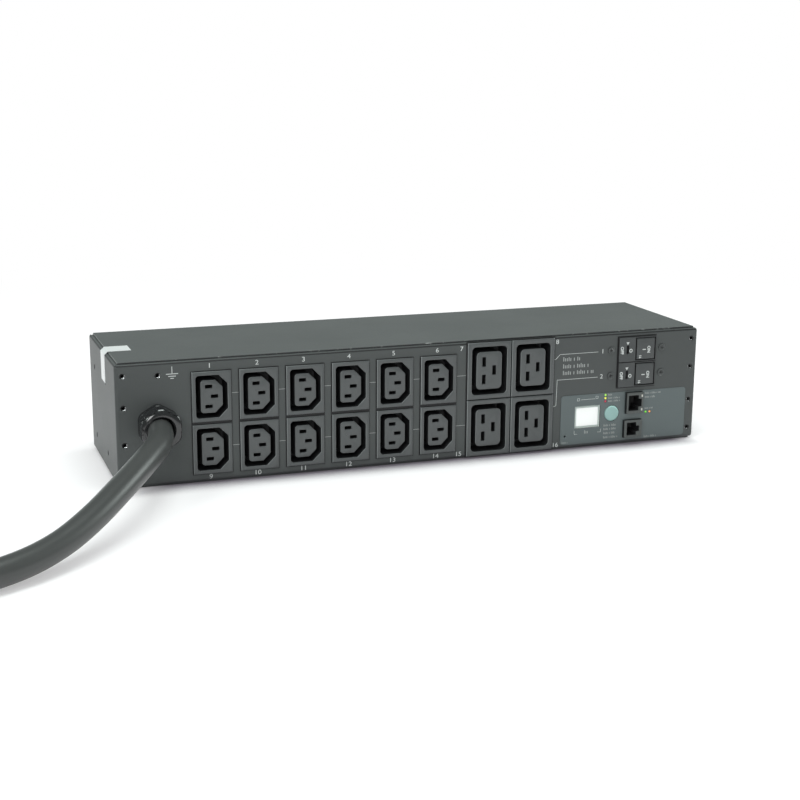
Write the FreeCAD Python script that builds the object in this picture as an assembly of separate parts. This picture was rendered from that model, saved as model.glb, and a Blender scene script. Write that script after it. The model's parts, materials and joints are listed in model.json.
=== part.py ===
import FreeCAD, Part
import math
import os

# Rack power distribution unit, two rack units high. Millimetres, +Z up, +X to the right of someone
# facing the outlets, +Y to the back. The origin is on the floor, under the middle of the housing.

# Sheet metal housing
sheet = 1.2
bend_radius = 2.0
flange_width = 10.0
cover_inset = 2.5
housing_depth = 115.0

# Clearances
fit_gap = 0.3
slot_gap = 0.5
rivet_gap = 0.1

# Smaller outlets: columns 1 to 6 in two rows
c13_columns = 6
c13_flange_width = 27.6
c13_flange_height = 35.3
c13_column_gap = 5.65
c13_row_gap = 1.9
c13_row_shift = -1.4
c13_lip = 1.5
c13_wall = 1.2
c13_moat = 3.4
c13_corner = 2.4
c13_recess_cut = 6.2
c13_core_cut = 5.2
c13_pole_pitch = 14.0
c13_earth_offset = 4.0
c13_slot_width = 5.0
c13_slot_height = 2.4

# Larger outlets: two columns in two rows
c19_columns = 2
c19_flange_width = 34.2
c19_flange_height = 42.2
c19_column_gap = 0.7
c19_row_gap = 0.6
c19_edge_margin = 1.2
c19_lip = 2.0
c19_wall = 1.3
c19_moat = 3.9
c19_corner = 3.2
c19_pole_pitch = 13.0
c19_earth_offset = 8.0
c19_slot_width = 2.8
c19_slot_height = 7.0

# Shared by all outlets
outlet_proud = 1.6
outlet_body_depth = 28.0
outlet_edge_cut = 0.5
outlet_recess_depth = 17.0
outlet_core_setback = 0.6

# Busbar strips behind the outlets
bar_height = 5.0
bar_thickness = 1.2
bar_end = 6.0
bar_link = 6.0
contact_length = 12.0

# Zones of the front, from left to right
entry_zone = 46.1
outlet_group_gap = 8.1
overlay_margin_left = 6.8
overlay_width = 105.3
overlay_margin_right = 8.4

# Breakers
breaker_width = 31.4
breaker_height = 19.2
breaker_gap = 0.2
breaker_proud = 1.6
breaker_depth = 52.0
breaker_top_margin = 4.6
breaker_offset = 68.55
guard_width = 14.1
guard_thickness = 1.3
rocker_wall_side = 0.7
rocker_wall_end = 1.0
rocker_clearance = 0.4
rocker_thickness = 4.2
rocker_cavity_depth = 8.0
rocker_pivot_setback = 0.4
rocker_hub_radius = 1.3
rocker_pin_radius = 0.8
rocker_pin_gap = 0.2
rocker_pin_reach = 1.1
rocker_arm_length = 8.5
rocker_arm_height = 10.0
rocker_arm_thickness = 1.8
rocker_edge_gap = 1.0
tool_slot_offset = 8.4
tool_slot_width = 1.7
tool_slot_height = 6.0
breaker_ear_reach = 9.3
breaker_ear_thickness = 3.0
breaker_screw_reach = 5.6
breaker_screw_head = 5.4
breaker_screw_head_height = 0.9
breaker_screw_shank = 2.9
breaker_tab_width = 6.3
breaker_tab_thickness = 0.8
breaker_tab_length = 10.0
breaker_tab_pitch = 10.0

# Control area. Places are measured from the lower left corner of the overlay.
overlay_height = 37.9
overlay_thickness = 0.4
overlay_corner = 2.5
overlay_edge = 0.2
board_gap = 12.8
board_thickness = 1.6
display_x = 22.35
display_z = 20.45
display_window_width = 21.4
display_window_height = 17.2
display_frame = 1.6
display_setback = 0.6
button_x = 42.4
button_z = 21.7
button_diameter = 11.7
button_gap = 0.35
button_proud = 1.2
button_dome = 0.8
button_flange = 1.3
button_flange_thickness = 1.0
button_stem = 4.0
button_travel = 0.8
switch_size = 6.0
switch_height = 3.5
switch_plunger = 3.4
switch_plunger_height = 1.4
led_diameter = 1.6
led_gap = 0.3
led_proud = 0.1
status_led_x = 37.0
status_led_z = 31.4
status_led_pitch = 2.45
link_led_x = 71.7
link_led_z = 20.7
link_led_pitch = 3.35
reset_x = 3.8
reset_z = 6.7
reset_hole = 1.6
reset_plunger = 2.4
reset_plunger_length = 4.0
reset_travel = 0.5
reset_switch_size = 5.6
reset_switch_height = 8.0
standoff_diameter = 5.0
standoff_bore = 2.6
standoff_left = 5.2
standoff_right = 5.6
standoff_top = 4.6
standoff_low_left = 14.6
standoff_low_right = 5.6
board_screw_head = 4.4
board_screw_head_height = 1.6
board_screw_shank = 2.2
board_screw_reach = 5.0

# Jacks: body width, height and place, then the mouth with its latch notch on the right
jack_proud = 3.0
jack_mouth_depth = 13.0
jack_contact_length = 9.0
jack_contact_width = 0.5
jack_contact_height = 0.6
jack_contact_pitch = 1.02
network_x = 60.9
network_z = 28.9
network_width = 14.0
network_height = 16.4
network_wall = 1.6
network_mouth_width = 8.4
network_mouth_height = 11.8
network_notch_depth = 2.6
network_notch_height = 6.0
network_contacts = 8
serial_x = 60.1
serial_z = 8.8
serial_width = 15.0
serial_height = 13.6
serial_wall = 2.2
serial_mouth_width = 7.8
serial_mouth_height = 9.8
serial_notch_depth = 2.6
serial_notch_height = 4.4
serial_contacts = 4

# Threaded holes
ear_hole = 4.0
ear_hole_edge = 5.3
ear_hole_low = 9.0
ear_hole_inner = 31.0
side_hole_front = 42.0
side_hole_span = 52.0
side_hole_low = 15.5
side_hole_rise = 51.0
earth_hole = 4.0
earth_hole_left = 29.0
earth_hole_top = 10.0
clinch_flats = 6.2
clinch_length = 3.0

# Rivets and screws of the housing
rivet_diameter = 3.2
rivet_head = 5.6
rivet_head_height = 0.9
rivet_setback = 22.0
cover_screw_head = 5.6
cover_screw_head_height = 2.0
cover_screw_shank = 3.0
cover_screw_length = 6.0
cover_screw_spread = 130.0
cover_screw_z = 6.0

# Cable gland
gland_left = 28.0
gland_flats = 27.0
gland_flange = 5.0
gland_thread = 22.0
gland_front_thread = 6.0
gland_back_thread = 7.0
gland_bore_gap = 0.5
gland_nut_length = 12.6
gland_nut_hex = 5.0
gland_nut_wall = 2.6
gland_nut_mouth = 20.6
gland_nut_dome = 1.4
gland_locknut_length = 5.0

# Supply cord, its coil and its plug
cord_diameter = 17.0
coil_pitch = 17.2
coil_turns_across = 3
coil_outer_turn = 115.0
coil_slack = 0.8
coil_height = 36.4
coil_lift = 1.6
coil_corner = 7.0
tie_width = 20.0
tie_thickness = 1.2
tie_angles = (100.0, 215.0, 330.0)
plug_tail = 96.0
plug_axis_height = 31.2
plug_nut_length = 24.0
plug_nut_front = 40.0
plug_shell_length = 104.0
plug_waist = 44.0
plug_mouth = 53.0
plug_flange = 62.0
plug_flange_width = 9.0
plug_flange_setback = 42.0
plug_wall = 3.0
plug_mouth_depth = 38.0
plug_insert_length = 8.0
plug_pin_circle = 24.0
plug_pin = 6.0
plug_earth_pin = 8.0
plug_pin_length = 30.0

# Inner parts
core_diameter = 3.6
core_offset = 4.2
bank_lane_offset = 6.2
feed_rise_offset = 20.0
terminal_left = 62.0
terminal_back = 60.0
terminal_pitch = 12.0
terminal_depth = 22.0
terminal_height = 24.0
terminal_hole = 4.6
terminal_hole_depth = 8.0
terminal_entry_height = 12.0
terminal_jumper_height = 18.6
terminal_screw = 5.0
terminal_screw_depth = 4.0
transformer_width = 38.0
transformer_depth = 32.0
transformer_height = 28.0
transformer_window = 9.0
transformer_bulge = 5.0
transformer_right = 40.0
transformer_back = 30.0
sensor_outer = 22.0
sensor_bore = 9.0
sensor_length = 10.0
sensor_foot = 3.0
sensor_x = -14.0
sensor_step = 16.0
sensor_lanes = (27.5, 14.0)

# Seal strip over the top left edge
strip_width = 17.0
strip_front = 41.0
strip_top = 16.0
strip_side = 20.0
strip_thickness = 0.25

V = FreeCAD.Vector
X_AXIS = V(1, 0, 0)
Y_AXIS = V(0, 1, 0)
Z_AXIS = V(0, 0, 1)

# Worked out from the driving sizes
c13_column_pitch = c13_flange_width + c13_column_gap
c13_row_pitch = c13_flange_height + c13_row_gap
c19_column_pitch = c19_flange_width + c19_column_gap
c19_row_pitch = c19_flange_height + c19_row_gap
control_zone = overlay_margin_left + overlay_width + overlay_margin_right
outlet_field = c13_columns * c13_column_pitch + c19_columns * c19_column_pitch
housing_width = entry_zone + outlet_field + outlet_group_gap + control_zone
housing_height = 2 * c19_row_pitch + 2 * c19_edge_margin

left = -housing_width / 2
right = housing_width / 2
front = -housing_depth / 2
back = housing_depth / 2
top = housing_height
middle = housing_height / 2
panel_back = front + sheet
board_front = panel_back + board_gap
board_back = board_front + board_thickness
overlay_left = right - overlay_margin_right - overlay_width
overlay_bottom = sheet + bend_radius + overlay_edge
overlay_face = front - overlay_thickness

c13_first = left + entry_zone + c13_column_pitch / 2 + c13_column_gap / 2
c19_first = left + entry_zone + c13_columns * c13_column_pitch + outlet_group_gap + c19_column_pitch / 2
c13_x = [c13_first + c13_column_pitch * i for i in range(c13_columns)]
c19_x = [c19_first + c19_column_pitch * i for i in range(c19_columns)]
c13_z = [middle + c13_row_shift + c13_row_pitch * s for s in (0.5, -0.5)]
c19_z = [middle + c19_row_pitch * s for s in (0.5, -0.5)]

breaker_x = overlay_left - overlay_margin_left + breaker_offset
breaker_pitch = breaker_height + breaker_gap
breaker_z = [top - breaker_top_margin - breaker_height / 2 - breaker_pitch * i for i in range(2)]
breaker_face = front - breaker_proud
guard_edge = breaker_x - breaker_width / 2 + guard_width
rocker_pivot_x = guard_edge - rocker_pivot_setback
rocker_pivot_y = breaker_face + guard_thickness + rocker_clearance + rocker_hub_radius

gland_x = left + gland_left
gland_z = middle
gland_bore = cord_diameter + 2 * gland_bore_gap
bar_front = front + outlet_body_depth

# Route of the cord, from inside the gland down to the floor and out to the coil
cord_turns = [
    (0, 10, gland_z), (0, -30.5, gland_z), (-19.5, -65, 39), (-41, -94.5, 30), (-63, -119.5, 21),
    (-87, -141.5, 13.2), (-114, -161.5, 9.2), (-145, -176.5, 8.6), (-182, -183.5, 8.7),
    (-222, -184, 9.4), (-261, -181.5, 10.2),
]
cord_route = [(gland_x + x, front + y, z) for x, y, z in cord_turns]
coil_x = cord_route[-1][0]
coil_y = cord_route[-1][1] + coil_outer_turn
coil_outer = coil_outer_turn + cord_diameter / 2 + coil_slack
coil_inner = coil_outer_turn - coil_turns_across * coil_pitch - cord_diameter / 2 - coil_slack
plug_x = coil_x - coil_outer_turn + 0.75 * coil_pitch
tail_top = coil_lift + 1.5 * cord_diameter
tail_route = [
    (plug_x, coil_y - 2, tail_top), (plug_x, coil_y + 44, tail_top),
    (plug_x, coil_y + 76, plug_axis_height), (plug_x, coil_y + 112, plug_axis_height),
]


def box(x0, x1, y0, y1, z0, z1):
    return Part.makeBox(x1 - x0, y1 - y0, z1 - z0, V(x0, y0, z0))


def block_y(x, z, width, height, y0, y1):
    """Box centred on x and z, from y0 back to y1."""
    return box(x - width / 2, x + width / 2, y0, y1, z - height / 2, z + height / 2)


def rod_y(x, z, diameter, y0, y1):
    return Part.makeCylinder(diameter / 2, y1 - y0, V(x, y0, z), Y_AXIS)


def rod_x(y, z, diameter, x0, x1):
    return Part.makeCylinder(diameter / 2, x1 - x0, V(x0, y, z), X_AXIS)


def rod_z(x, y, diameter, z0, z1):
    return Part.makeCylinder(diameter / 2, z1 - z0, V(x, y, z0), Z_AXIS)


def lines_along(shape, axis):
    """The straight edges of a shape that run along an axis."""
    straight = [e for e in shape.Edges if isinstance(e.Curve, Part.Line)]
    return [e for e in straight if abs(e.Curve.Direction.dot(axis)) > 0.999]


def rounded_y(x, z, width, height, radius, y0, y1):
    form = block_y(x, z, width, height, y0, y1)
    return form.makeFillet(radius, lines_along(form, Y_AXIS))


def hexagon_y(x, z, flats, y0, y1):
    """Six-sided prism with two upright flats."""
    corner = flats / math.sqrt(3)
    turns = [math.radians(60 * i) for i in range(7)]
    outline = Part.makePolygon([V(x + corner * math.sin(t), y0, z + corner * math.cos(t)) for t in turns])
    return Part.Face(outline).extrude(V(0, y1 - y0, 0))


def fuse(pieces):
    return pieces[0].fuse(pieces[1:]).removeSplitter()


def tube_path(points):
    """Straight runs joined by tangent arcs, each as large as its two runs allow, with the radii."""
    corners = [V(*p) for p in points]
    edges = []
    radii = []
    start = corners[0]
    for before, corner, after in zip(corners, corners[1:], corners[2:]):
        back_way = (before - corner).normalize()
        on_way = (after - corner).normalize()
        half_turn = (math.pi - back_way.getAngle(on_way)) / 2
        tangent = 0.45 * min((before - corner).Length, (after - corner).Length)
        radius = tangent / math.tan(half_turn)
        inward = (back_way + on_way).normalize()
        crown = corner + inward * (radius / math.cos(half_turn) - radius)
        first = corner + back_way * tangent
        last = corner + on_way * tangent
        edges.append(Part.LineSegment(start, first).toShape())
        edges.append(Part.Arc(first, crown, last).toShape())
        radii.append(radius)
        start = last
    edges.append(Part.LineSegment(start, corners[-1]).toShape())
    return Part.Wire(edges), radii


def tube(points, diameter):
    path, radii = tube_path(points)
    first = V(*points[0])
    section = Part.Wire(Part.makeCircle(diameter / 2, first, V(*points[1]) - first))
    return path.makePipeShell([section], True, False), path.Length, radii


def chassis_wrap():
    """Front and both sides folded from one sheet, with edges turned in for the cover and the base."""
    outer = box(left, right, front, back, sheet, top - sheet)
    outer = outer.makeFillet(bend_radius, wrap_folds(outer))
    inner = box(left + sheet, right - sheet, panel_back, back + sheet, 2 * sheet, top - 2 * sheet)
    inner = inner.makeFillet(bend_radius - sheet, wrap_folds(inner))
    window = box(left + flange_width, right - flange_width, front + flange_width, back + sheet, 0, top)
    rear_notch = box(left + sheet, right - sheet, back - 2 * sheet - fit_gap, back + sheet, 0, top)
    return outer.cut([inner, window, rear_notch] + front_cutouts() + side_holes() + rivet_holes())


def wrap_folds(form):
    """The four edges of the front and the four edges that run back from it."""
    y_front = form.BoundBox.YMin
    on_front = [e for e in form.Edges if abs(e.BoundBox.YMax - y_front) < 1e-6]
    return on_front + lines_along(form, Y_AXIS)


def front_cutouts():
    y0 = front - sheet
    y1 = panel_back + sheet
    cuts = []
    for x in c13_x:
        for z in c13_z:
            width = c13_flange_width - 2 * c13_lip + 2 * fit_gap
            height = c13_flange_height - 2 * c13_lip + 2 * fit_gap
            cuts.append(block_y(x, z, width, height, y0, y1))
    for x in c19_x:
        for z in c19_z:
            width = c19_flange_width - 2 * c19_lip + 2 * fit_gap
            height = c19_flange_height - 2 * c19_lip + 2 * fit_gap
            cuts.append(block_y(x, z, width, height, y0, y1))
    pair_height = breaker_pitch + breaker_height + 2 * fit_gap
    cuts.append(block_y(breaker_x, sum(breaker_z) / 2, breaker_width + 2 * fit_gap, pair_height, y0, y1))
    for x in breaker_screw_x():
        cuts += [rod_y(x, z, breaker_screw_shank + 2 * fit_gap, y0, y1) for z in breaker_z]
    cuts.append(rod_y(gland_x, gland_z, gland_thread + 2 * fit_gap, y0, y1))
    cuts += [rod_y(x, z, ear_hole, y0, y1) for x, z in ear_hole_places()]
    cuts.append(rod_y(left + earth_hole_left, top - earth_hole_top, earth_hole, y0, y1))
    return cuts + control_cutouts(y0, y1)


def control_cutouts(y0, y1):
    """Windows and holes that the overlay and the panel behind it share."""
    x = overlay_left
    z = overlay_bottom
    cuts = [block_y(x + display_x, z + display_z, display_window_width, display_window_height, y0, y1)]
    cuts.append(rod_y(x + button_x, z + button_z, button_diameter + 2 * button_gap, y0, y1))
    cuts += [rod_y(lx, lz, led_diameter + 2 * led_gap, y0, y1) for lx, lz in led_places()]
    cuts.append(rod_y(x + reset_x, z + reset_z, reset_hole, y0, y1))
    for jack_x, jack_z, width, height in (
        (network_x, network_z, network_width, network_height),
        (serial_x, serial_z, serial_width, serial_height),
    ):
        cuts.append(block_y(x + jack_x, z + jack_z, width + 2 * fit_gap, height + 2 * fit_gap, y0, y1))
    return cuts


def ear_hole_places():
    heights = [ear_hole_low, ear_hole_inner, top - ear_hole_inner, top - ear_hole_low]
    return [(x, z) for x in (left + ear_hole_edge, right - ear_hole_edge) for z in heights]


def side_hole_places():
    ys = [front + side_hole_front, front + side_hole_front + side_hole_span]
    return [(y, z) for y in ys for z in (side_hole_low, side_hole_low + side_hole_rise)]


def side_holes():
    holes = []
    for y, z in side_hole_places():
        holes.append(rod_x(y, z, ear_hole, left - sheet, left + 2 * sheet))
        holes.append(rod_x(y, z, ear_hole, right - 2 * sheet, right + sheet))
    return holes


def rivet_places():
    reach = (cover_inset + flange_width) / 2
    ys = (front + rivet_setback, back - rivet_setback)
    return [(x, y) for x in (left + reach, right - reach) for y in ys]


def rivet_holes():
    return [rod_z(x, y, rivet_diameter + 2 * rivet_gap, -sheet, 3 * sheet) for x, y in rivet_places()]


def cover_screw_x():
    return [cover_screw_spread * s for s in (-1.5, -0.5, 0.5, 1.5)]


def cover_screw_holes():
    gap = cover_screw_shank + 2 * rivet_gap
    return [rod_y(x, cover_screw_z, gap, back - 3 * sheet, back + sheet) for x in cover_screw_x()]


def top_cover():
    """Top and rear wall folded from one sheet, lying on the turned-in edges."""
    x0 = left + cover_inset
    x1 = right - cover_inset
    y0 = front + cover_inset
    outer = box(x0, x1, y0, back, fit_gap, top)
    outer = outer.makeFillet(bend_radius, rear_top_edge(outer))
    inner = box(x0 - sheet, x1 + sheet, y0 - sheet, back - sheet, -sheet, top - sheet)
    inner = inner.makeFillet(bend_radius - sheet, rear_top_edge(inner))
    return outer.cut([inner] + cover_screw_holes())


def rear_top_edge(form):
    bounds = form.BoundBox
    return [
        e for e in lines_along(form, X_AXIS)
        if abs(e.BoundBox.YMin - bounds.YMax) < 1e-6 and abs(e.BoundBox.ZMin - bounds.ZMax) < 1e-6
    ]


def base_plate():
    """Bottom sheet with its rear edge turned up behind the rear wall."""
    x0 = left + cover_inset
    x1 = right - cover_inset
    floor = box(x0, x1, front + cover_inset, back - sheet, 0, sheet)
    rear_edge = box(x0, x1, back - 2 * sheet, back - sheet, 0, flange_width)
    return fuse([floor, rear_edge]).cut(rivet_holes() + cover_screw_holes())


def base_rivets():
    """Flush rivets that hold the base to the turned-in edges."""
    rivets = []
    for x, y in rivet_places():
        shank = rod_z(x, y, rivet_diameter, 0, 2 * sheet)
        head = rod_z(x, y, rivet_head, 2 * sheet, 2 * sheet + rivet_head_height)
        rivets.append(fuse([shank, head]))
    return Part.makeCompound(rivets)


def cover_screws():
    screws = []
    for x in cover_screw_x():
        head = rod_y(x, cover_screw_z, cover_screw_head, back, back + cover_screw_head_height)
        shank = rod_y(x, cover_screw_z, cover_screw_shank, back - cover_screw_length, back)
        screws.append(fuse([head, shank]))
    return Part.makeCompound(screws)


def clinch_nuts():
    """Threaded inserts behind the bracket holes, the side holes and the earth point."""
    nuts = []
    places = ear_hole_places() + [(left + earth_hole_left, top - earth_hole_top)]
    for x, z in places:
        ring = hexagon_y(x, z, clinch_flats, panel_back, panel_back + clinch_length)
        nuts.append(ring.cut(rod_y(x, z, ear_hole, panel_back - sheet, panel_back + 2 * clinch_length)))
    for y, z in side_hole_places():
        for x0 in (left + sheet, right - sheet - clinch_length):
            x1 = x0 + clinch_length
            ring = hexagon_y(0, 0, clinch_flats, x0, x1)
            ring.rotate(V(0, 0, 0), Z_AXIS, -90)
            ring.translate(V(0, y, z))
            nuts.append(ring.cut(rod_x(y, z, ear_hole, x0 - sheet, x1 + sheet)))
    return Part.makeCompound(nuts)


def outlet_flange(x, z, width, height):
    flange = block_y(x, z, width, height, front - outlet_proud, front)
    face = [e for e in flange.Edges if abs(e.BoundBox.YMax - flange.BoundBox.YMin) < 1e-6]
    return flange.makeChamfer(outlet_edge_cut, face)


def keyed_form(x, z, width, height, cut, y0, y1):
    """Socket outline with two rounded corners on the left and two cut corners on the right."""
    form = block_y(x, z, width, height, y0, y1)
    left_edges = [e for e in lines_along(form, Y_AXIS) if e.BoundBox.XMax < x]
    form = form.makeFillet(c13_corner, left_edges)
    right_edges = [e for e in lines_along(form, Y_AXIS) if e.BoundBox.XMin > x + width / 2 - c13_corner]
    return form.makeChamfer(cut, right_edges)


def c13_outlet(x, z):
    body_width = c13_flange_width - 2 * c13_lip
    body_height = c13_flange_height - 2 * c13_lip
    recess_width = body_width - 2 * c13_wall
    recess_height = body_height - 2 * c13_wall
    face = front - outlet_proud
    floor = face + outlet_recess_depth
    body = block_y(x, z, body_width, body_height, front, front + outlet_body_depth)
    recess = keyed_form(x, z, recess_width, recess_height, c13_recess_cut, face - sheet, floor)
    core_width = recess_width - 2 * c13_moat
    core_height = recess_height - 2 * c13_moat
    core = keyed_form(x, z, core_width, core_height, c13_core_cut, face + outlet_core_setback, floor)
    shell = fuse([outlet_flange(x, z, c13_flange_width, c13_flange_height), body])
    slots = [
        block_y(x + dx, z + dz, c13_slot_width, c13_slot_height, face - sheet, front + 2 * outlet_body_depth)
        for dx, dz in pole_offsets(c13_earth_offset, c13_pole_pitch)
    ]
    return shell.cut(recess.cut(core)).cut(slots)


def c19_outlet(x, z):
    body_width = c19_flange_width - 2 * c19_lip
    body_height = c19_flange_height - 2 * c19_lip
    recess_width = body_width - 2 * c19_wall
    recess_height = body_height - 2 * c19_wall
    core_width = recess_width - 2 * c19_moat
    core_height = recess_height - 2 * c19_moat
    face = front - outlet_proud
    floor = face + outlet_recess_depth
    body = block_y(x, z, body_width, body_height, front, front + outlet_body_depth)
    recess = rounded_y(x, z, recess_width, recess_height, c19_corner, face - sheet, floor)
    core = rounded_y(x, z, core_width, core_height, c19_corner, face + outlet_core_setback, floor)
    shell = fuse([outlet_flange(x, z, c19_flange_width, c19_flange_height), body])
    slots = [
        block_y(x + dx, z + dz, c19_slot_width, c19_slot_height, face - sheet, front + 2 * outlet_body_depth)
        for dx, dz in pole_offsets(c19_earth_offset, c19_pole_pitch)
    ]
    return shell.cut(recess.cut(core)).cut(slots)


def pole_offsets(earth_offset, pole_pitch):
    """Places of the line, neutral and earth slots from the middle of an outlet."""
    return [(-earth_offset / 2, pole_pitch / 2), (-earth_offset / 2, -pole_pitch / 2), (earth_offset / 2, 0)]


def bar_outline(points):
    """Flat strip of the bar's height along a bent line of x and z."""
    low = [V(x, bar_front, z - bar_height / 2) for x, z in points]
    high = [V(x, bar_front, z + bar_height / 2) for x, z in reversed(points)]
    outline = Part.makePolygon(low + high + low[:1])
    return Part.Face(outline).extrude(V(0, bar_thickness, 0))


def pole_bar(pole, row):
    """Stamped strip of one pole behind one row of outlets, with a contact in every slot."""
    c13_dx, c13_dz = pole_offsets(c13_earth_offset, c13_pole_pitch)[pole]
    c19_dx, c19_dz = pole_offsets(c19_earth_offset, c19_pole_pitch)[pole]
    c13_height = c13_z[row] + c13_dz
    c19_height = c19_z[row] + c19_dz
    strip = bar_outline([
        (c13_x[0] + c13_dx - bar_end, c13_height), (c13_x[-1] + c13_dx + bar_end, c13_height),
        (c19_x[0] + c19_dx - bar_end, c19_height), (c19_x[-1] + c19_dx + bar_end, c19_height),
    ])
    y0 = bar_front - contact_length
    c13_size = (c13_slot_width - 2 * slot_gap, c13_slot_height - 2 * slot_gap)
    c19_size = (c19_slot_width - 2 * slot_gap, bar_height)
    contacts = [block_y(x + c13_dx, c13_height, *c13_size, y0, bar_front) for x in c13_x]
    contacts += [block_y(x + c19_dx, c19_height, *c19_size, y0, bar_front) for x in c19_x]
    return fuse([strip] + contacts)


def line_busbars():
    return Part.makeCompound([pole_bar(0, row) for row in range(2)])


def bar_arm(x, low, high):
    """Upright strip that joins the two rows of a pole."""
    z0 = low - bar_height / 2
    z1 = high + bar_height / 2
    return box(x, x + bar_link, bar_front, bar_front + bar_thickness, z0, z1)


def neutral_busbars():
    """Both rows' neutral strips, joined at the left."""
    dx, dz = pole_offsets(c13_earth_offset, c13_pole_pitch)[1]
    end = c13_x[0] + dx - bar_end
    bar_back = bar_front + bar_thickness
    feet = [block_y(end, z + dz, 2 * fit_gap, bar_height, bar_front, bar_back) for z in c13_z]
    arm = bar_arm(end - fit_gap - bar_link, c13_z[1] + dz, c13_z[0] + dz)
    return fuse([pole_bar(1, 0), pole_bar(1, 1), arm] + feet)


def earth_busbars():
    """Both rows' earth strips, joined at the right."""
    dx, dz = pole_offsets(c19_earth_offset, c19_pole_pitch)[2]
    arm = bar_arm(c19_x[-1] + dx + bar_end, c19_z[1] + dz, c19_z[0] + dz)
    return fuse([pole_bar(2, 0), pole_bar(2, 1), arm])


def breaker_screw_x():
    reach = breaker_width / 2 + breaker_screw_reach
    return [breaker_x - reach, breaker_x + reach]


def breaker_body(z):
    """Breaker with a fixed guard on the left and an open rocker bay on the right of its nose."""
    half_bay = breaker_height / 2 - rocker_wall_end
    bay_right = breaker_x + breaker_width / 2 - rocker_wall_side
    bay_back = breaker_face + rocker_cavity_depth
    body = block_y(breaker_x, z, breaker_width, breaker_height, breaker_face, panel_back + breaker_depth)
    ear_width = breaker_width + 2 * breaker_ear_reach
    ears = block_y(breaker_x, z, ear_width, breaker_height, panel_back, panel_back + breaker_ear_thickness)
    bay = box(guard_edge, bay_right, breaker_face - sheet, bay_back, z - half_bay, z + half_bay)
    hidden_left = rocker_pivot_x - rocker_arm_length - 2 * rocker_clearance
    guard_back = breaker_face + guard_thickness
    hidden_bay = box(hidden_left, guard_edge, guard_back, bay_back, z - half_bay, z + half_bay)
    tool_slot = block_y(breaker_x - tool_slot_offset, z, tool_slot_width, tool_slot_height,
                        breaker_face - sheet, breaker_face + 2 * guard_thickness)
    pin_bore = 2 * (rocker_pin_radius + rocker_pin_gap)
    pin_holes = rod_z(rocker_pivot_x, rocker_pivot_y, pin_bore, z - breaker_height, z + breaker_height)
    screw_bore = breaker_screw_shank + 2 * rivet_gap
    screw_holes = [
        rod_y(x, z, screw_bore, panel_back - sheet, panel_back + 2 * breaker_ear_thickness)
        for x in breaker_screw_x()
    ]
    return fuse([body, ears]).cut([bay, hidden_bay, tool_slot, pin_holes] + screw_holes)


def breaker_rocker(z):
    """Paddle with a hub and pins on an upright axis, and an arm that reaches behind the guard."""
    half_height = breaker_height / 2 - rocker_wall_end - rocker_clearance
    paddle_right = breaker_x + breaker_width / 2 - rocker_wall_side - rocker_clearance
    paddle = box(guard_edge + rocker_edge_gap, paddle_right, breaker_face, breaker_face + rocker_thickness,
                 z - half_height, z + half_height)
    rim = [e for e in paddle.Edges if abs(e.BoundBox.YMax - breaker_face) < 1e-6]
    paddle = paddle.makeChamfer(outlet_edge_cut, rim)
    hub = rod_z(rocker_pivot_x, rocker_pivot_y, 2 * rocker_hub_radius, z - half_height, z + half_height)
    web = box(rocker_pivot_x, guard_edge + 2 * rocker_edge_gap, rocker_pivot_y,
              breaker_face + rocker_thickness, z - half_height, z + half_height)
    arm_front = rocker_pivot_y - rocker_hub_radius
    arm = box(rocker_pivot_x - rocker_arm_length, rocker_pivot_x, arm_front, arm_front + rocker_arm_thickness,
              z - rocker_arm_height / 2, z + rocker_arm_height / 2)
    reach = half_height + rocker_pin_reach
    pins = rod_z(rocker_pivot_x, rocker_pivot_y, 2 * rocker_pin_radius, z - reach, z + reach)
    return fuse([paddle, hub, web, arm, pins])


def breaker_terminals():
    """Blade terminals on the backs of the breakers."""
    y0 = panel_back + breaker_depth
    return Part.makeCompound([
        block_y(breaker_x + breaker_tab_pitch * s, z, breaker_tab_width, breaker_tab_thickness,
                y0, y0 + breaker_tab_length)
        for z in breaker_z for s in (-0.5, 0.5)
    ])


def breaker_screws():
    screws = []
    for x in breaker_screw_x():
        for z in breaker_z:
            head = rod_y(x, z, breaker_screw_head, front - breaker_screw_head_height, front)
            shank = rod_y(x, z, breaker_screw_shank, front, panel_back + breaker_ear_thickness)
            screws.append(fuse([head, shank]))
    return Part.makeCompound(screws)


def control_overlay():
    """Printed film on the lower right of the front."""
    film = rounded_y(overlay_left + overlay_width / 2, overlay_bottom + overlay_height / 2,
                     overlay_width, overlay_height, overlay_corner, overlay_face, front)
    return film.cut(control_cutouts(overlay_face - sheet, panel_back))


def display_module():
    """Display with a nose in the window and a wider body between the panel and the board."""
    x = overlay_left + display_x
    z = overlay_bottom + display_z
    nose_width = display_window_width - 2 * fit_gap
    nose_height = display_window_height - 2 * fit_gap
    nose = block_y(x, z, nose_width, nose_height, front + display_setback, board_front)
    frame = block_y(x, z, display_window_width + 2 * display_frame, display_window_height + 2 * display_frame,
                    panel_back, board_front)
    return fuse([nose, frame])


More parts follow.
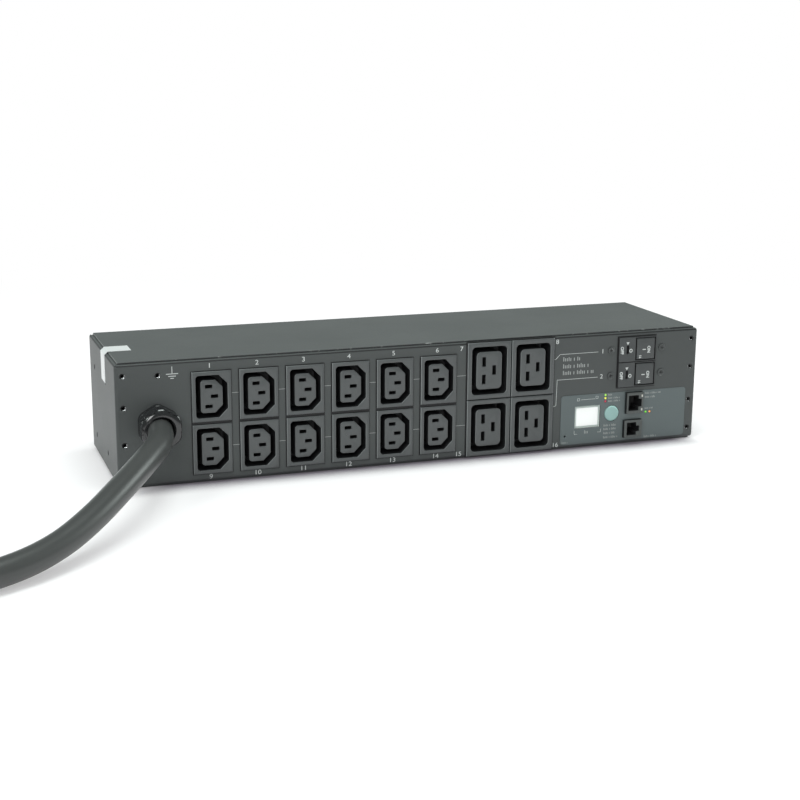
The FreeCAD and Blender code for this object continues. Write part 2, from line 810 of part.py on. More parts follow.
def view_button():
    """Round cap with a domed face, kept in by a flange behind the panel."""
    x = overlay_left + button_x
    z = overlay_bottom + button_z
    radius = button_diameter / 2
    face = overlay_face - button_proud
    sphere = (radius ** 2 + button_dome ** 2) / (2 * button_dome)
    half_way = face + sphere - math.sqrt(sphere ** 2 - radius ** 2 / 4)
    flange_front = panel_back + fit_gap
    flange_back = flange_front + button_flange_thickness
    stem_end = board_front - switch_height - switch_plunger_height - button_travel - fit_gap / 2
    rim = V(x + radius, face + button_dome, z)
    dome = Part.Arc(V(x, face, z), V(x + radius / 2, half_way, z), rim).toShape()
    side = [
        rim, V(x + radius, flange_front, z), V(x + radius + button_flange, flange_front, z),
        V(x + radius + button_flange, flange_back, z), V(x + button_stem / 2, flange_back, z),
        V(x + button_stem / 2, stem_end, z), V(x, stem_end, z), V(x, face, z),
    ]
    outline = Part.Wire([dome] + Part.makePolygon(side).Edges)
    return Part.Face(outline).revolve(V(x, face, z), Y_AXIS, 360)


def board_switches():
    """Push switch behind the round button, and a switch with a bore for the reset plunger."""
    x = overlay_left + button_x
    z = overlay_bottom + button_z
    body = block_y(x, z, switch_size, switch_size, board_front - switch_height, board_front)
    plunger_front = board_front - switch_height - switch_plunger_height
    push_switch = fuse([body, rod_y(x, z, switch_plunger, plunger_front, board_front - switch_height)])
    x = overlay_left + reset_x
    z = overlay_bottom + reset_z
    face = board_front - reset_switch_height
    body = block_y(x, z, reset_switch_size, reset_switch_size, face, board_front)
    bore = rod_y(x, z, reset_plunger + 2 * fit_gap, face - sheet, face + reset_bore_depth())
    return Part.makeCompound([push_switch, body.cut(bore)])


def reset_bore_depth():
    return reset_plunger_length / 2 + reset_travel + fit_gap


def reset_button():
    x = overlay_left + reset_x
    z = overlay_bottom + reset_z
    y0 = board_front - reset_switch_height - reset_plunger_length / 2
    return rod_y(x, z, reset_plunger, y0, y0 + reset_plunger_length)


def led_places():
    status = [
        (overlay_left + status_led_x, overlay_bottom + status_led_z + status_led_pitch * i) for i in range(3)
    ]
    link = [(overlay_left + link_led_x + link_led_pitch * i, overlay_bottom + link_led_z) for i in range(2)]
    return status + link


def indicator_leds():
    return Part.makeCompound([
        rod_y(x, z, led_diameter, overlay_face - led_proud, board_front) for x, z in led_places()
    ])


def jack_mouth_left(width, wall):
    return -width / 2 + wall


def jack(x, z, width, height, wall, mouth_width, mouth_height, notch_depth, notch_height):
    """Jack turned on its side: a mouth with its latch notch on the right."""
    face = front - jack_proud
    mouth_left = x + jack_mouth_left(width, wall)
    mouth_right = mouth_left + mouth_width
    mouth_back = face + jack_mouth_depth
    body = block_y(x, z, width, height, face, board_front)
    mouth = box(mouth_left, mouth_right, face - sheet, mouth_back, z - mouth_height / 2, z + mouth_height / 2)
    notch = box(mouth_right, mouth_right + notch_depth, face - sheet, mouth_back,
                z - notch_height / 2, z + notch_height / 2)
    return body.cut(fuse([mouth, notch]))


def network_jack():
    return jack(overlay_left + network_x, overlay_bottom + network_z, network_width, network_height,
                network_wall, network_mouth_width, network_mouth_height,
                network_notch_depth, network_notch_height)


def serial_jack():
    return jack(overlay_left + serial_x, overlay_bottom + serial_z, serial_width, serial_height,
                serial_wall, serial_mouth_width, serial_mouth_height,
                serial_notch_depth, serial_notch_height)


def jack_contacts():
    """Spring contacts along the left wall of each jack's mouth."""
    y1 = front - jack_proud + jack_mouth_depth
    springs = []
    for x, z, width, wall, count in (
        (network_x, network_z, network_width, network_wall, network_contacts),
        (serial_x, serial_z, serial_width, serial_wall, serial_contacts),
    ):
        x0 = overlay_left + x + jack_mouth_left(width, wall)
        for i in range(count):
            spring_z = overlay_bottom + z + jack_contact_pitch * (i - (count - 1) / 2)
            springs.append(box(x0, x0 + jack_contact_height, y1 - jack_contact_length, y1,
                               spring_z - jack_contact_width / 2, spring_z + jack_contact_width / 2))
    return Part.makeCompound(springs)


def standoff_places():
    x0 = overlay_left + standoff_left
    x1 = overlay_left + overlay_width - standoff_right
    high = overlay_bottom + overlay_height - standoff_top
    low_left = overlay_bottom + standoff_low_left
    low_right = overlay_bottom + standoff_low_right
    return [(x0, high), (x1, high), (x0, low_left), (x1, low_right)]


def control_board():
    board = box(overlay_left, overlay_left + overlay_width, board_front, board_back,
                overlay_bottom, overlay_bottom + overlay_height)
    return board.cut([
        rod_y(x, z, standoff_bore, board_front - sheet, board_back + sheet) for x, z in standoff_places()
    ])


def board_standoffs():
    posts = []
    for x, z in standoff_places():
        post = rod_y(x, z, standoff_diameter, panel_back, board_front)
        bore = rod_y(x, z, standoff_bore, board_front - board_screw_reach - fit_gap, board_front)
        posts.append(post.cut(bore))
    return Part.makeCompound(posts)


def board_screws():
    screws = []
    for x, z in standoff_places():
        head = rod_y(x, z, board_screw_head, board_back, board_back + board_screw_head_height)
        shank = rod_y(x, z, board_screw_shank, board_front - board_screw_reach, board_back)
        screws.append(fuse([head, shank]))
    return Part.makeCompound(screws)


def gland_body():
    """Hexagon against the panel, with a threaded barrel on each side."""
    y0 = front - gland_flange
    flange = hexagon_y(gland_x, gland_z, gland_flats, y0, front)
    barrel = rod_y(gland_x, gland_z, gland_thread, y0 - gland_front_thread, panel_back + gland_back_thread)
    bore_back = panel_back + 2 * gland_back_thread
    bore = rod_y(gland_x, gland_z, gland_bore, y0 - 2 * gland_front_thread, bore_back)
    return fuse([flange, barrel]).cut(bore)


def gland_nut_back():
    return front - gland_flange - fit_gap


def gland_cap_nut():
    """Hexagon cap whose front closes to a round dome about the cord."""
    y1 = gland_nut_back()
    y0 = y1 - gland_nut_length
    shoulder = y1 - gland_nut_hex
    corner = gland_flats / math.sqrt(3)
    mouth = gland_nut_mouth / 2
    rim = V(gland_x + mouth, y0, gland_z)
    side = V(gland_x + corner, shoulder, gland_z)
    crown = (rim + side) / 2 + V(gland_nut_dome, -gland_nut_dome, 0)
    profile = Part.Wire([
        Part.LineSegment(V(gland_x, y0, gland_z), rim).toShape(),
        Part.Arc(rim, crown, side).toShape(),
        Part.LineSegment(side, V(gland_x + corner, y1, gland_z)).toShape(),
        Part.LineSegment(V(gland_x + corner, y1, gland_z), V(gland_x, y1, gland_z)).toShape(),
        Part.LineSegment(V(gland_x, y1, gland_z), V(gland_x, y0, gland_z)).toShape(),
    ])
    dome = Part.Face(profile).revolve(V(gland_x, y0, gland_z), Y_AXIS, 360)
    cap = hexagon_y(gland_x, gland_z, gland_flats, y0, y1).common(dome)
    hollow = rod_y(gland_x, gland_z, gland_thread + 2 * fit_gap, y0 + gland_nut_wall, y1 + sheet)
    bore = rod_y(gland_x, gland_z, gland_bore, y0 - sheet, y1)
    return cap.cut([hollow, bore])


def gland_seal():
    """Rubber ring about the cord, between the barrel and the cap nut."""
    y0 = gland_nut_back() - gland_nut_length + gland_nut_wall
    y1 = front - gland_flange - gland_front_thread
    ring = rod_y(gland_x, gland_z, gland_thread, y0, y1)
    return ring.cut(rod_y(gland_x, gland_z, cord_diameter + 2 * fit_gap, y0 - sheet, y1 + sheet))


def gland_locknut():
    y1 = panel_back + gland_locknut_length
    nut = hexagon_y(gland_x, gland_z, gland_flats, panel_back, y1)
    bore = rod_y(gland_x, gland_z, gland_thread + 2 * fit_gap, panel_back - sheet, y1 + sheet)
    return nut.cut(bore)


def supply_cord():
    cord, length, radii = tube(cord_route, cord_diameter)
    plain = math.pi * cord_diameter ** 2 / 4 * length
    print("cord radii", [round(r, 1) for r in radii], "length", round(length, 1))
    print("cord volume over section times length", round(cord.Volume / plain, 5))
    return cord


def cord_tail():
    """Free end of the cord, from the top of the coil down to the plug."""
    return tube(tail_route, cord_diameter)[0]


def cord_coil():
    """Outer form of the coiled length: a flat ring with bevelled edges."""
    low = coil_lift
    high = coil_lift + coil_height
    cut = coil_corner
    section = [
        (coil_inner + cut, low), (coil_outer - cut, low), (coil_outer, low + cut), (coil_outer, high - cut),
        (coil_outer - cut, high), (coil_inner + cut, high), (coil_inner, high - cut), (coil_inner, low + cut),
    ]
    outline = Part.makePolygon([V(coil_x + r, coil_y, z) for r, z in section + section[:1]])
    return Part.Face(outline).revolve(V(coil_x, coil_y, 0), Z_AXIS, 360)


def coil_ties():
    """Straps round the coil's section, clear of its curved walls."""
    ties = []
    low = coil_lift - fit_gap
    high = coil_lift + coil_height + fit_gap
    near = math.sqrt(coil_inner ** 2 - tie_width ** 2 / 4) - fit_gap
    far = coil_outer + fit_gap
    for angle in tie_angles:
        outer = box(near - tie_thickness, far + tie_thickness, -tie_width / 2, tie_width / 2,
                    low - tie_thickness, high + tie_thickness)
        outer = outer.makeChamfer(coil_corner, lines_along(outer, Y_AXIS))
        inner = box(near, far, -tie_width, tie_width, low, high)
        inner = inner.makeChamfer(coil_corner - tie_thickness, lines_along(inner, Y_AXIS))
        tie = outer.cut([inner])
        tie.rotate(V(0, 0, 0), Z_AXIS, angle)
        tie.translate(V(coil_x, coil_y, 0))
        ties.append(tie)
    return Part.makeCompound(ties)


def plug_turned(profile):
    """Solid turned about the plug's axis from distances along it and radii."""
    y0 = coil_y + plug_tail
    points = [V(plug_x, y0 + along, plug_axis_height + radius) for along, radius in profile]
    outline = Part.makePolygon(points + [points[0]])
    return Part.Face(outline).revolve(V(plug_x, y0, plug_axis_height), Y_AXIS, 360)


def plug_cord_nut():
    bore = cord_diameter / 2 + fit_gap
    return plug_turned([
        (0, bore), (0, bore + plug_wall), (plug_nut_length, plug_nut_front / 2), (plug_nut_length, bore),
    ])


def plug_shell():
    """Handle and shroud with a flange where the cap of a socket catches."""
    start = plug_nut_length
    end = start + plug_shell_length
    flange_end = end - plug_flange_setback
    flange_start = flange_end - plug_flange_width
    mouth = plug_mouth / 2
    floor = end - plug_mouth_depth
    return plug_turned([
        (start, 0), (start, plug_nut_front / 2), (flange_start, plug_waist / 2),
        (flange_start, plug_flange / 2), (flange_end, plug_flange / 2), (flange_end, mouth),
        (end, mouth), (end, mouth - plug_wall), (floor, mouth - plug_wall), (floor, 0),
    ])


def plug_floor():
    return coil_y + plug_tail + plug_nut_length + plug_shell_length - plug_mouth_depth


def plug_insert():
    """Disc in the shroud that holds the pins."""
    y0 = plug_floor()
    y1 = y0 + plug_insert_length
    disc = rod_y(plug_x, plug_axis_height, plug_mouth - 2 * plug_wall - 2 * fit_gap, y0, y1)
    return disc.cut([rod_y(x, z, d + 2 * fit_gap, y0 - sheet, y1 + sheet) for x, z, d in plug_pin_places()])


def plug_pin_places():
    places = []
    for turn, diameter in ((-90, plug_earth_pin), (30, plug_pin), (150, plug_pin)):
        angle = math.radians(turn)
        x = plug_x + plug_pin_circle / 2 * math.cos(angle)
        z = plug_axis_height + plug_pin_circle / 2 * math.sin(angle)
        places.append((x, z, diameter))
    return places


def plug_pins():
    y0 = plug_floor()
    return Part.makeCompound([rod_y(x, z, d, y0, y0 + plug_pin_length) for x, z, d in plug_pin_places()])


def terminal_places():
    """Middle of each pole of the terminal block, on its front face."""
    y = back - terminal_back
    return [(left + terminal_left + terminal_pitch * (i - 1), y) for i in range(3)]


def terminal_block():
    y0 = back - terminal_back
    centre = left + terminal_left
    width = 3 * terminal_pitch
    z1 = sheet + terminal_height
    block = box(centre - width / 2, centre + width / 2, y0, y0 + terminal_depth, sheet, z1)
    cuts = []
    for x, y in terminal_places():
        z = sheet + terminal_entry_height
        cuts.append(rod_y(x, z, terminal_hole, y - sheet, y + terminal_hole_depth))
        cuts.append(rod_z(x, y + terminal_depth / 2, terminal_screw, z1 - terminal_screw_depth, z1 + sheet))
    return block.cut(cuts)


def hookup_wires():
    return Part.makeCompound(supply_wires() + terminal_wires() + feed_wires() + bank_wires())


def supply_wires():
    """The cord's three cores, from its end inside the gland to the terminal block."""
    wires = []
    end = cord_route[0]
    for i, (x, y) in enumerate(terminal_places()):
        angle = math.radians(120 * i + 210)
        start_x = end[0] + core_offset * math.cos(angle)
        start_z = end[2] + core_offset * math.sin(angle)
        z = sheet + terminal_entry_height
        run = (y - end[1]) / 3
        route = [
            (start_x, end[1], start_z), (start_x, end[1] + run, start_z),
            (x, y - run, z), (x, y + terminal_hole_depth / 2, z),
        ]
        wires.append(tube(route, core_diameter)[0])
    return wires


def terminal_wires():
    """From the terminal block to the neutral and earth strips of the lower row."""
    wires = []
    y1 = bar_front + bar_thickness
    offsets = pole_offsets(c13_earth_offset, c13_pole_pitch)
    for (x, y0), (dx, dz) in zip(terminal_places()[1:], (offsets[2], offsets[1])):
        z0 = sheet + terminal_jumper_height
        z1 = c13_z[1] + dz
        run = (y0 - y1) / 3
        wires.append(tube([(x, y0, z0), (x, y0 - run, z0), (x, y1 + run, z1), (x, y1, z1)], core_diameter)[0])
    return wires


def feed_wires():
    """From the line pole of the terminal block, through a current sensor, to each breaker."""
    wires = []
    x0 = terminal_places()[0][0]
    y0 = back - terminal_back + terminal_depth
    tab_x = breaker_x - breaker_tab_pitch / 2
    tab_end = panel_back + breaker_depth + breaker_tab_length
    for i, (_, lane, z) in enumerate(sensor_places()):
        start_x = x0 + core_diameter * (0.75 - 1.5 * i)
        route = [
            (start_x, y0, z), (start_x, lane, z), (tab_x - feed_rise_offset, lane, z),
            (tab_x, lane, breaker_z[i]), (tab_x, tab_end, breaker_z[i]),
        ]
        wires.append(tube(route, core_diameter)[0])
    return wires


def bank_wires():
    """From each breaker to the end of its line strip."""
    wires = []
    tab_x = breaker_x + breaker_tab_pitch / 2
    tab_end = panel_back + breaker_depth + breaker_tab_length
    bar_x = c19_x[-1] - c19_earth_offset / 2 + bar_end - core_diameter
    bar_back = bar_front + bar_thickness
    for row, (_, feed_lane, _) in enumerate(sensor_places()):
        lane = feed_lane + bank_lane_offset
        z = c19_z[row] + c19_pole_pitch / 2
        route = [
            (tab_x, tab_end, breaker_z[row]), (tab_x, lane, breaker_z[row]),
            (bar_x, lane, z), (bar_x, bar_back, z),
        ]
        wires.append(tube(route, core_diameter)[0])
    return wires


def transformer_place():
    return right - transformer_right, back - transformer_back


def supply_transformer():
    """Small mains transformer: a laminated core with a winding through its window."""
    x, y = transformer_place()
    z0 = sheet
    core = box(x - transformer_width / 2, x + transformer_width / 2, y - transformer_depth / 4,
               y + transformer_depth / 4, z0, z0 + transformer_height)
    window = transformer_width / 2 - transformer_window
    low = z0 + transformer_bulge
    high = z0 + transformer_height - transformer_bulge
    winding = box(x - window, x + window, y - transformer_depth / 2, y + transformer_depth / 2, low, high)
    winding = winding.makeFillet(transformer_bulge / 2, lines_along(winding, Z_AXIS))
    return fuse([core, winding])


def sensor_places():
    """Middle of each sensor's left face: x, then the lane of its wire, then height."""
    z = sheet + sensor_foot + sensor_outer / 2
    x = overlay_left + sensor_x
    return [(x + sensor_step * i, back - lane, z) for i, lane in enumerate(sensor_lanes)]


def current_sensors():
    """Current transformers: rings on small feet, one for each breaker's feed."""
    sensors = []
    for x, y, z in sensor_places():
        ring = rod_x(y, z, sensor_outer, x, x + sensor_length)
        foot = box(x, x + sensor_length, y - sensor_outer / 3, y + sensor_outer / 3, sheet, z - sensor_bore)
        bore = rod_x(y, z, sensor_bore, x - sheet, x + sensor_length + sheet)
        sensors.append(fuse([ring, foot]).cut(bore))
    return Part.makeCompound(sensors)


def seal_strip():
    """Thin strip folded over the top left edge, from the cover down the side."""
    t = strip_thickness
    edge = left + cover_inset
    fold_top = top - sheet - bend_radius / 2
    inner = [(edge + strip_top, top), (edge, top), (left, fold_top), (left, fold_top - strip_side)]
    outer = [
        (left - t, fold_top - strip_side), (left - t, fold_top + t),
        (edge - t, top + t), (edge + strip_top, top + t),
    ]
    y0 = front + strip_front
    outline = Part.makePolygon([V(x, y0, z) for x, z in inner + outer + inner[:1]])
    return Part.Face(outline).extrude(V(0, strip_width, 0))


def outlet_nodes():
    """All outlets, numbered along the upper row and then along the lower row."""
    nodes = {}
    for row in range(2):
        first = 1 + row * (c13_columns + c19_columns)
        for i, x in enumerate(c13_x):
            nodes[f"c13_outlet_{first + i:02d}"] = c13_outlet(x, c13_z[row])
        for i, x in enumerate(c19_x):
            nodes[f"c19_outlet_{first + c13_columns + i:02d}"] = c19_outlet(x, c19_z[row])
    return nodes


nodes = {
    "chassis_wrap": chassis_wrap(),
    "top_cover": top_cover(),
    "base_plate": base_plate(),
    "base_rivets": base_rivets(),
    "cover_screws": cover_screws(),
    "clinch_nuts": clinch_nuts(),
    "line_busbars": line_busbars(),
    "neutral_busbars": neutral_busbars(),
    "earth_busbars": earth_busbars(),
    "breaker_1_body": breaker_body(breaker_z[0]),
    "breaker_2_body": breaker_body(breaker_z[1]),
    "breaker_1_rocker": breaker_rocker(breaker_z[0]),
    "breaker_2_rocker": breaker_rocker(breaker_z[1]),
    "breaker_terminals": breaker_terminals(),
    "breaker_screws": breaker_screws(),
    "control_overlay": control_overlay(),
    "display_module": display_module(),
    "view_button": view_button(),
    "board_switches": board_switches(),
    "reset_button": reset_button(),
    "indicator_leds": indicator_leds(),
    "network_jack": network_jack(),
    "serial_jack": serial_jack(),
    "jack_contacts": jack_contacts(),
    "control_board": control_board(),
    "board_standoffs": board_standoffs(),
    "board_screws": board_screws(),
    "gland_body": gland_body(),
    "gland_cap_nut": gland_cap_nut(),
    "gland_seal": gland_seal(),
    "gland_locknut": gland_locknut(),
    "supply_cord": supply_cord(),
    "cord_tail": cord_tail(),
    "cord_coil": cord_coil(),
    "coil_ties": coil_ties(),
    "plug_cord_nut": plug_cord_nut(),
    "plug_shell": plug_shell(),
    "plug_insert": plug_insert(),
    "plug_pins": plug_pins(),
    "terminal_block": terminal_block(),
    "hookup_wires": hookup_wires(),
    "supply_transformer": supply_transformer(),
    "current_sensors": current_sensors(),
    "seal_strip": seal_strip(),
}
nodes.update(outlet_nodes())

os.makedirs("parts", exist_ok=True)
for name, shape in nodes.items():
    shape.exportStep(f"parts/{name}.step")
size = (round(housing_width, 2), housing_depth, round(housing_height, 2))
print(len(nodes), "nodes, housing", *size)
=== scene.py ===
"""Dressed model of a rack power distribution unit, laid out as an add-on and run as a script."""

import json
import math

import bpy
from bpy.props import FloatProperty, FloatVectorProperty, IntProperty, PointerProperty
from bpy.types import NodeSocket, Operator, Panel, PropertyGroup
from mathutils import Matrix, Vector

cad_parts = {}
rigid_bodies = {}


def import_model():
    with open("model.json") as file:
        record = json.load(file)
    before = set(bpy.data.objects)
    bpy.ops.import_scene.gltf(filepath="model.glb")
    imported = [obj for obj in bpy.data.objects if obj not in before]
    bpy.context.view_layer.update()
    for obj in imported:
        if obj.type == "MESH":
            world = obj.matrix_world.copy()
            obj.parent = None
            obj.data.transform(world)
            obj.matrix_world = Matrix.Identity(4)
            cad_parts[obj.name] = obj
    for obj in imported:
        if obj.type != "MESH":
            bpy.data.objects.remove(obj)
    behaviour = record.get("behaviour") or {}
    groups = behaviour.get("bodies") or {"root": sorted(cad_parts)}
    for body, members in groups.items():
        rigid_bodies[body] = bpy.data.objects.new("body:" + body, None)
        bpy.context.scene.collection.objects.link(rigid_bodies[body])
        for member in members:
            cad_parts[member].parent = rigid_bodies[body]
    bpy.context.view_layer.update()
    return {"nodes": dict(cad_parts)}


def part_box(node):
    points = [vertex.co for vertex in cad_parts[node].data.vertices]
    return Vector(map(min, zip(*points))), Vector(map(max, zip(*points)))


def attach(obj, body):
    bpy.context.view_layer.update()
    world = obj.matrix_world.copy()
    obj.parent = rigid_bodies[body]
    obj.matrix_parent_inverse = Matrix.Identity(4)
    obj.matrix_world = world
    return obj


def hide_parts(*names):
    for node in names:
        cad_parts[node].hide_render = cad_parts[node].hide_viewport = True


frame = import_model()

bl_info = {
    "name": "Rack power unit",
    "version": (1, 0, 0),
    "blender": (4, 5, 0),
    "location": "3D View > Sidebar > Power Unit",
    "description": "Gives the solids of a rack power distribution unit their looks",
    "category": "Object",
}

MM = 0.001
NODES = frame["nodes"]
HOUSING = "housing"
ROCKERS = ("rocker_1", "rocker_2")
SMALL_OUTLETS = ["c13_outlet_%02d" % i for i in (1, 2, 3, 4, 5, 6, 9, 10, 11, 12, 13, 14)]
LARGE_OUTLETS = ["c19_outlet_%02d" % i for i in (7, 8, 15, 16)]
UPPER_ROW = SMALL_OUTLETS[:6] + LARGE_OUTLETS[:2]
LOWER_ROW = SMALL_OUTLETS[6:] + LARGE_OUTLETS[2:]
PANEL_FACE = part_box("chassis_wrap")[0][1]
FILM_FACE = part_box("control_overlay")[0][1]
GUARD_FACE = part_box("breaker_1_body")[0][1]
ROCKER_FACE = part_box("breaker_1_rocker")[0][1]
PLAIN = (1.0, 1.0, 1.0)
# Turn that lays an upright form along the depth
ALONG_DEPTH = (math.radians(90), 0, 0)

# Route of the cord from inside the gland to the coil, in metres
CORD_ROUTE = (
    (-0.194, -0.0475, 0.044), (-0.194, -0.088, 0.044), (-0.2130, -0.1230, 0.0387), (-0.2343, -0.1530, 0.0307),
    (-0.2555, -0.1790, 0.0218), (-0.2785, -0.2018, 0.0141), (-0.3050, -0.2218, 0.0107), (-0.3365, -0.2358, 0.0100),
    (-0.3745, -0.2415, 0.0093), (-0.416, -0.2418, 0.0094), (-0.455, -0.239, 0.0102),
)
# The cord's points from the coil to the plug: distance past the coil's middle, and height
TAIL_RUN = ((0.044, 0.0271), (0.076, 0.0312), (0.112, 0.0312))


class StageSettings(PropertyGroup):
    camera_place: FloatVectorProperty(
        name="Camera place", description="Where the camera stands", subtype="TRANSLATION", unit="LENGTH",
        default=(-0.3651, -1.0274, 0.2984))
    camera_yaw: FloatProperty(
        name="Yaw", description="Camera's turn to the right", subtype="ANGLE", default=math.radians(19.62))
    camera_pitch: FloatProperty(
        name="Pitch", description="Camera's tilt down", subtype="ANGLE", default=math.radians(13.66))
    camera_roll: FloatProperty(
        name="Roll", description="Camera's lean", subtype="ANGLE", default=math.radians(0.38))
    lens: FloatProperty(name="Lens", description="Focal length in millimetres", default=66.50)
    room_light: FloatProperty(name="Room light", description="Strength of the even light all round", default=0.60)
    ceiling: FloatProperty(
        name="Ceiling", description="Tone of the room overhead, as gloss shows it", subtype="FACTOR", default=0.30)
    top_power: FloatProperty(name="Top lamp", description="Power of the lamp above", unit="POWER", default=17.0)
    key_power: FloatProperty(name="Key lamp", description="Power of the lamp at the left", unit="POWER", default=7.0)
    fill_power: FloatProperty(name="Fill lamp", description="Power of the lamp in front", unit="POWER", default=7.5)
    rim_power: FloatProperty(name="Rim lamp", description="Power of the lamp behind", unit="POWER", default=2.5)
    side_power: FloatProperty(name="Side lamp", description="Power of the lamp at the right", unit="POWER", default=6.5)
    floor_size: FloatProperty(name="Floor", description="Side of the floor", unit="LENGTH", default=14.0)
    floor_white: FloatProperty(
        name="Floor white", description="Share of plain white in the floor's picture", subtype="FACTOR", default=0.28)
    contact_reach: FloatProperty(
        name="Contact shade", description="Reach of the shade on the floor close to the object", unit="LENGTH",
        default=0.023)


class CordSettings(PropertyGroup):
    diameter: FloatProperty(name="Diameter", description="Thickness of the cord", unit="LENGTH", default=0.017)
    length: FloatProperty(name="Length", description="Length of the cord", unit="LENGTH", default=3.35)
    outer_turn: FloatProperty(
        name="Outer turn", description="Radius of the coil's outermost turn", unit="LENGTH", default=0.115)
    turn_pitch: FloatProperty(
        name="Turn pitch", description="Step between neighbouring turns", unit="LENGTH", default=0.0172)
    turns: FloatProperty(name="Turns", description="Turns in the coil", default=5.25)
    points_per_turn: IntProperty(name="Points", description="Route points in each turn", default=16)
    strap_width: FloatProperty(name="Strap width", description="Width of a strap", unit="LENGTH", default=0.020)
    strap_thickness: FloatProperty(
        name="Strap thickness", description="Thickness of a strap", unit="LENGTH", default=0.0011)


class FinishSettings(PropertyGroup):
    paint: FloatVectorProperty(
        name="Paint", description="Colour of the housing", subtype="COLOR", default=(0.0600, 0.0632, 0.0635))
    moulding: FloatVectorProperty(
        name="Outlet moulding", description="Colour of the outlets", subtype="COLOR", default=(0.068, 0.073, 0.074))
    film: FloatVectorProperty(
        name="Overlay film", description="Colour of the overlay", subtype="COLOR", default=(0.085, 0.105, 0.107))
    ink: FloatVectorProperty(
        name="Ink", description="Colour of the printed marks", subtype="COLOR", default=(0.50, 0.52, 0.51))
    button: FloatVectorProperty(
        name="Button", description="Colour of the round button", subtype="COLOR", default=(0.245, 0.39, 0.37))
    cord: FloatVectorProperty(
        name="Cord", description="Colour of the cord's sheath", subtype="COLOR", default=(0.046, 0.048, 0.047))
    edge_round: FloatProperty(
        name="Edge rounding", description="Rounding of moulded edges", unit="LENGTH", default=0.0003)


class PrintSettings(PropertyGroup):
    number_size: FloatProperty(
        name="Number size", description="Type size of the outlet numbers", unit="LENGTH", default=0.0047)
    switch_size: FloatProperty(
        name="Switch mark size", description="Type size of the breakers' marks", unit="LENGTH", default=0.0044)
    line_width: FloatProperty(
        name="Line width", description="Width of the printed lines", unit="LENGTH", default=0.0003)
    ink_height: FloatProperty(
        name="Ink height", description="How far the ink stands proud", unit="LENGTH", default=0.00003)


def set_mode(mode):
    bpy.ops.object.mode_set(mode=mode)


def clear_selection():
    if bpy.context.object and bpy.context.object.mode != "OBJECT":
        set_mode("OBJECT")
    bpy.ops.object.select_all(action="DESELECT")
    bpy.context.view_layer.objects.active = None


def focus(piece):
    clear_selection()
    piece.select_set(True)
    bpy.context.view_layer.objects.active = piece


def settle(piece):
    """Puts the piece's place into its mesh."""
    focus(piece)
    bpy.ops.object.transform_apply(location=True, rotation=True, scale=True)


def apply_modifier(piece, kind, **values):
    focus(piece)
    modifier = piece.modifiers.new(kind.lower(), kind)
    for name, value in values.items():
        setattr(modifier, name, value)
    bpy.ops.object.modifier_apply(modifier=modifier.name)


def round_edges(piece, width, segments=2, angle=32):
    apply_modifier(piece, "BEVEL", width=width, segments=segments, limit_method="ANGLE",
                   angle_limit=math.radians(angle), use_clamp_overlap=False)
    focus(piece)
    bpy.ops.object.shade_smooth_by_angle(angle=math.radians(angle))


def copied_solid(node):
    """A merged copy of a CAD node, to be shaped further."""
    focus(NODES[node])
    bpy.ops.object.duplicate()
    piece = bpy.context.object
    bpy.ops.object.parent_clear(type="CLEAR_KEEP_TRANSFORM")
    settle(piece)
    bpy.ops.mesh.customdata_custom_splitnormals_clear()
    set_mode("EDIT")
    bpy.ops.mesh.select_all(action="SELECT")
    bpy.ops.mesh.remove_doubles(threshold=1e-6)
    bpy.ops.mesh.dissolve_limited(angle_limit=math.radians(0.5))
    set_mode("OBJECT")
    return piece


def softened(node, name, slot, width, body=HOUSING):
    """A copy of a CAD node with rounded edges, dressed in the node's place."""
    piece = copied_solid(node)
    round_edges(piece, width)
    dress(piece, name, slot, (node,), body)
    return piece


def dress(piece, name, slot, nodes=(), body=HOUSING, coat=None):
    """Names a piece, gives it a finish, the slot's unless another coat is given, and a body, and hides the CAD nodes
    that it stands for.
    """
    piece.name = name
    piece.data.name = name
    piece.data.materials.clear()
    piece.data.materials.append(coat_of(coat or slot))
    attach(piece, body)
    if nodes:
        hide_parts(*nodes)


def second_finish(piece, slot, test):
    """Gives the faces whose middle and normal pass a test another finish."""
    piece.data.materials.append(coat_of(slot))
    for face in piece.data.polygons:
        if test(face.center, face.normal):
            face.material_index = len(piece.data.materials) - 1


def paint_node(node, slot):
    """Gives a CAD node the finish of a slot."""
    mesh = NODES[node].data
    mesh.materials.clear()
    mesh.materials.append(coat_of(slot))


def settled():
    """The primitive that was just added, with its place put into its mesh."""
    piece = bpy.context.object
    settle(piece)
    return piece


def join(pieces):
    focus(pieces[0])
    for piece in pieces[1:]:
        piece.select_set(True)
    bpy.ops.object.join()
    return bpy.context.object


def select_faces(piece, test):
    """Selects the faces whose middle and normal pass a test, and opens edit mode."""
    focus(piece)
    set_mode("EDIT")
    bpy.ops.mesh.select_mode(type="FACE")
    bpy.ops.mesh.select_all(action="DESELECT")
    set_mode("OBJECT")
    for face in piece.data.polygons:
        face.select = test(face.center, face.normal)
    set_mode("EDIT")


def select_edges(piece, test, sharp=None):
    """Selects the edges, or only the sharp ones, whose ends pass a test, and opens edit mode."""
    select_faces(piece, lambda middle, normal: False)
    bpy.ops.mesh.select_mode(type="EDGE")
    if sharp:
        bpy.ops.mesh.edges_select_sharp(sharpness=math.radians(sharp))
    set_mode("OBJECT")
    points = piece.data.vertices
    for edge in piece.data.edges:
        a, b = (points[i].co for i in edge.vertices)
        edge.select = (edge.select or not sharp) and test(a, b)
    set_mode("EDIT")


def loose_pieces(node):
    """The separate solids of a CAD node as pieces, from left to right and from below up."""
    piece = copied_solid(node)
    focus(piece)
    set_mode("EDIT")
    bpy.ops.mesh.select_all(action="SELECT")
    bpy.ops.mesh.separate(type="LOOSE")
    set_mode("OBJECT")
    found = list(bpy.context.selected_objects)
    return sorted(found, key=lambda o: (round(o.bound_box[0][0], 4), o.bound_box[0][2]))


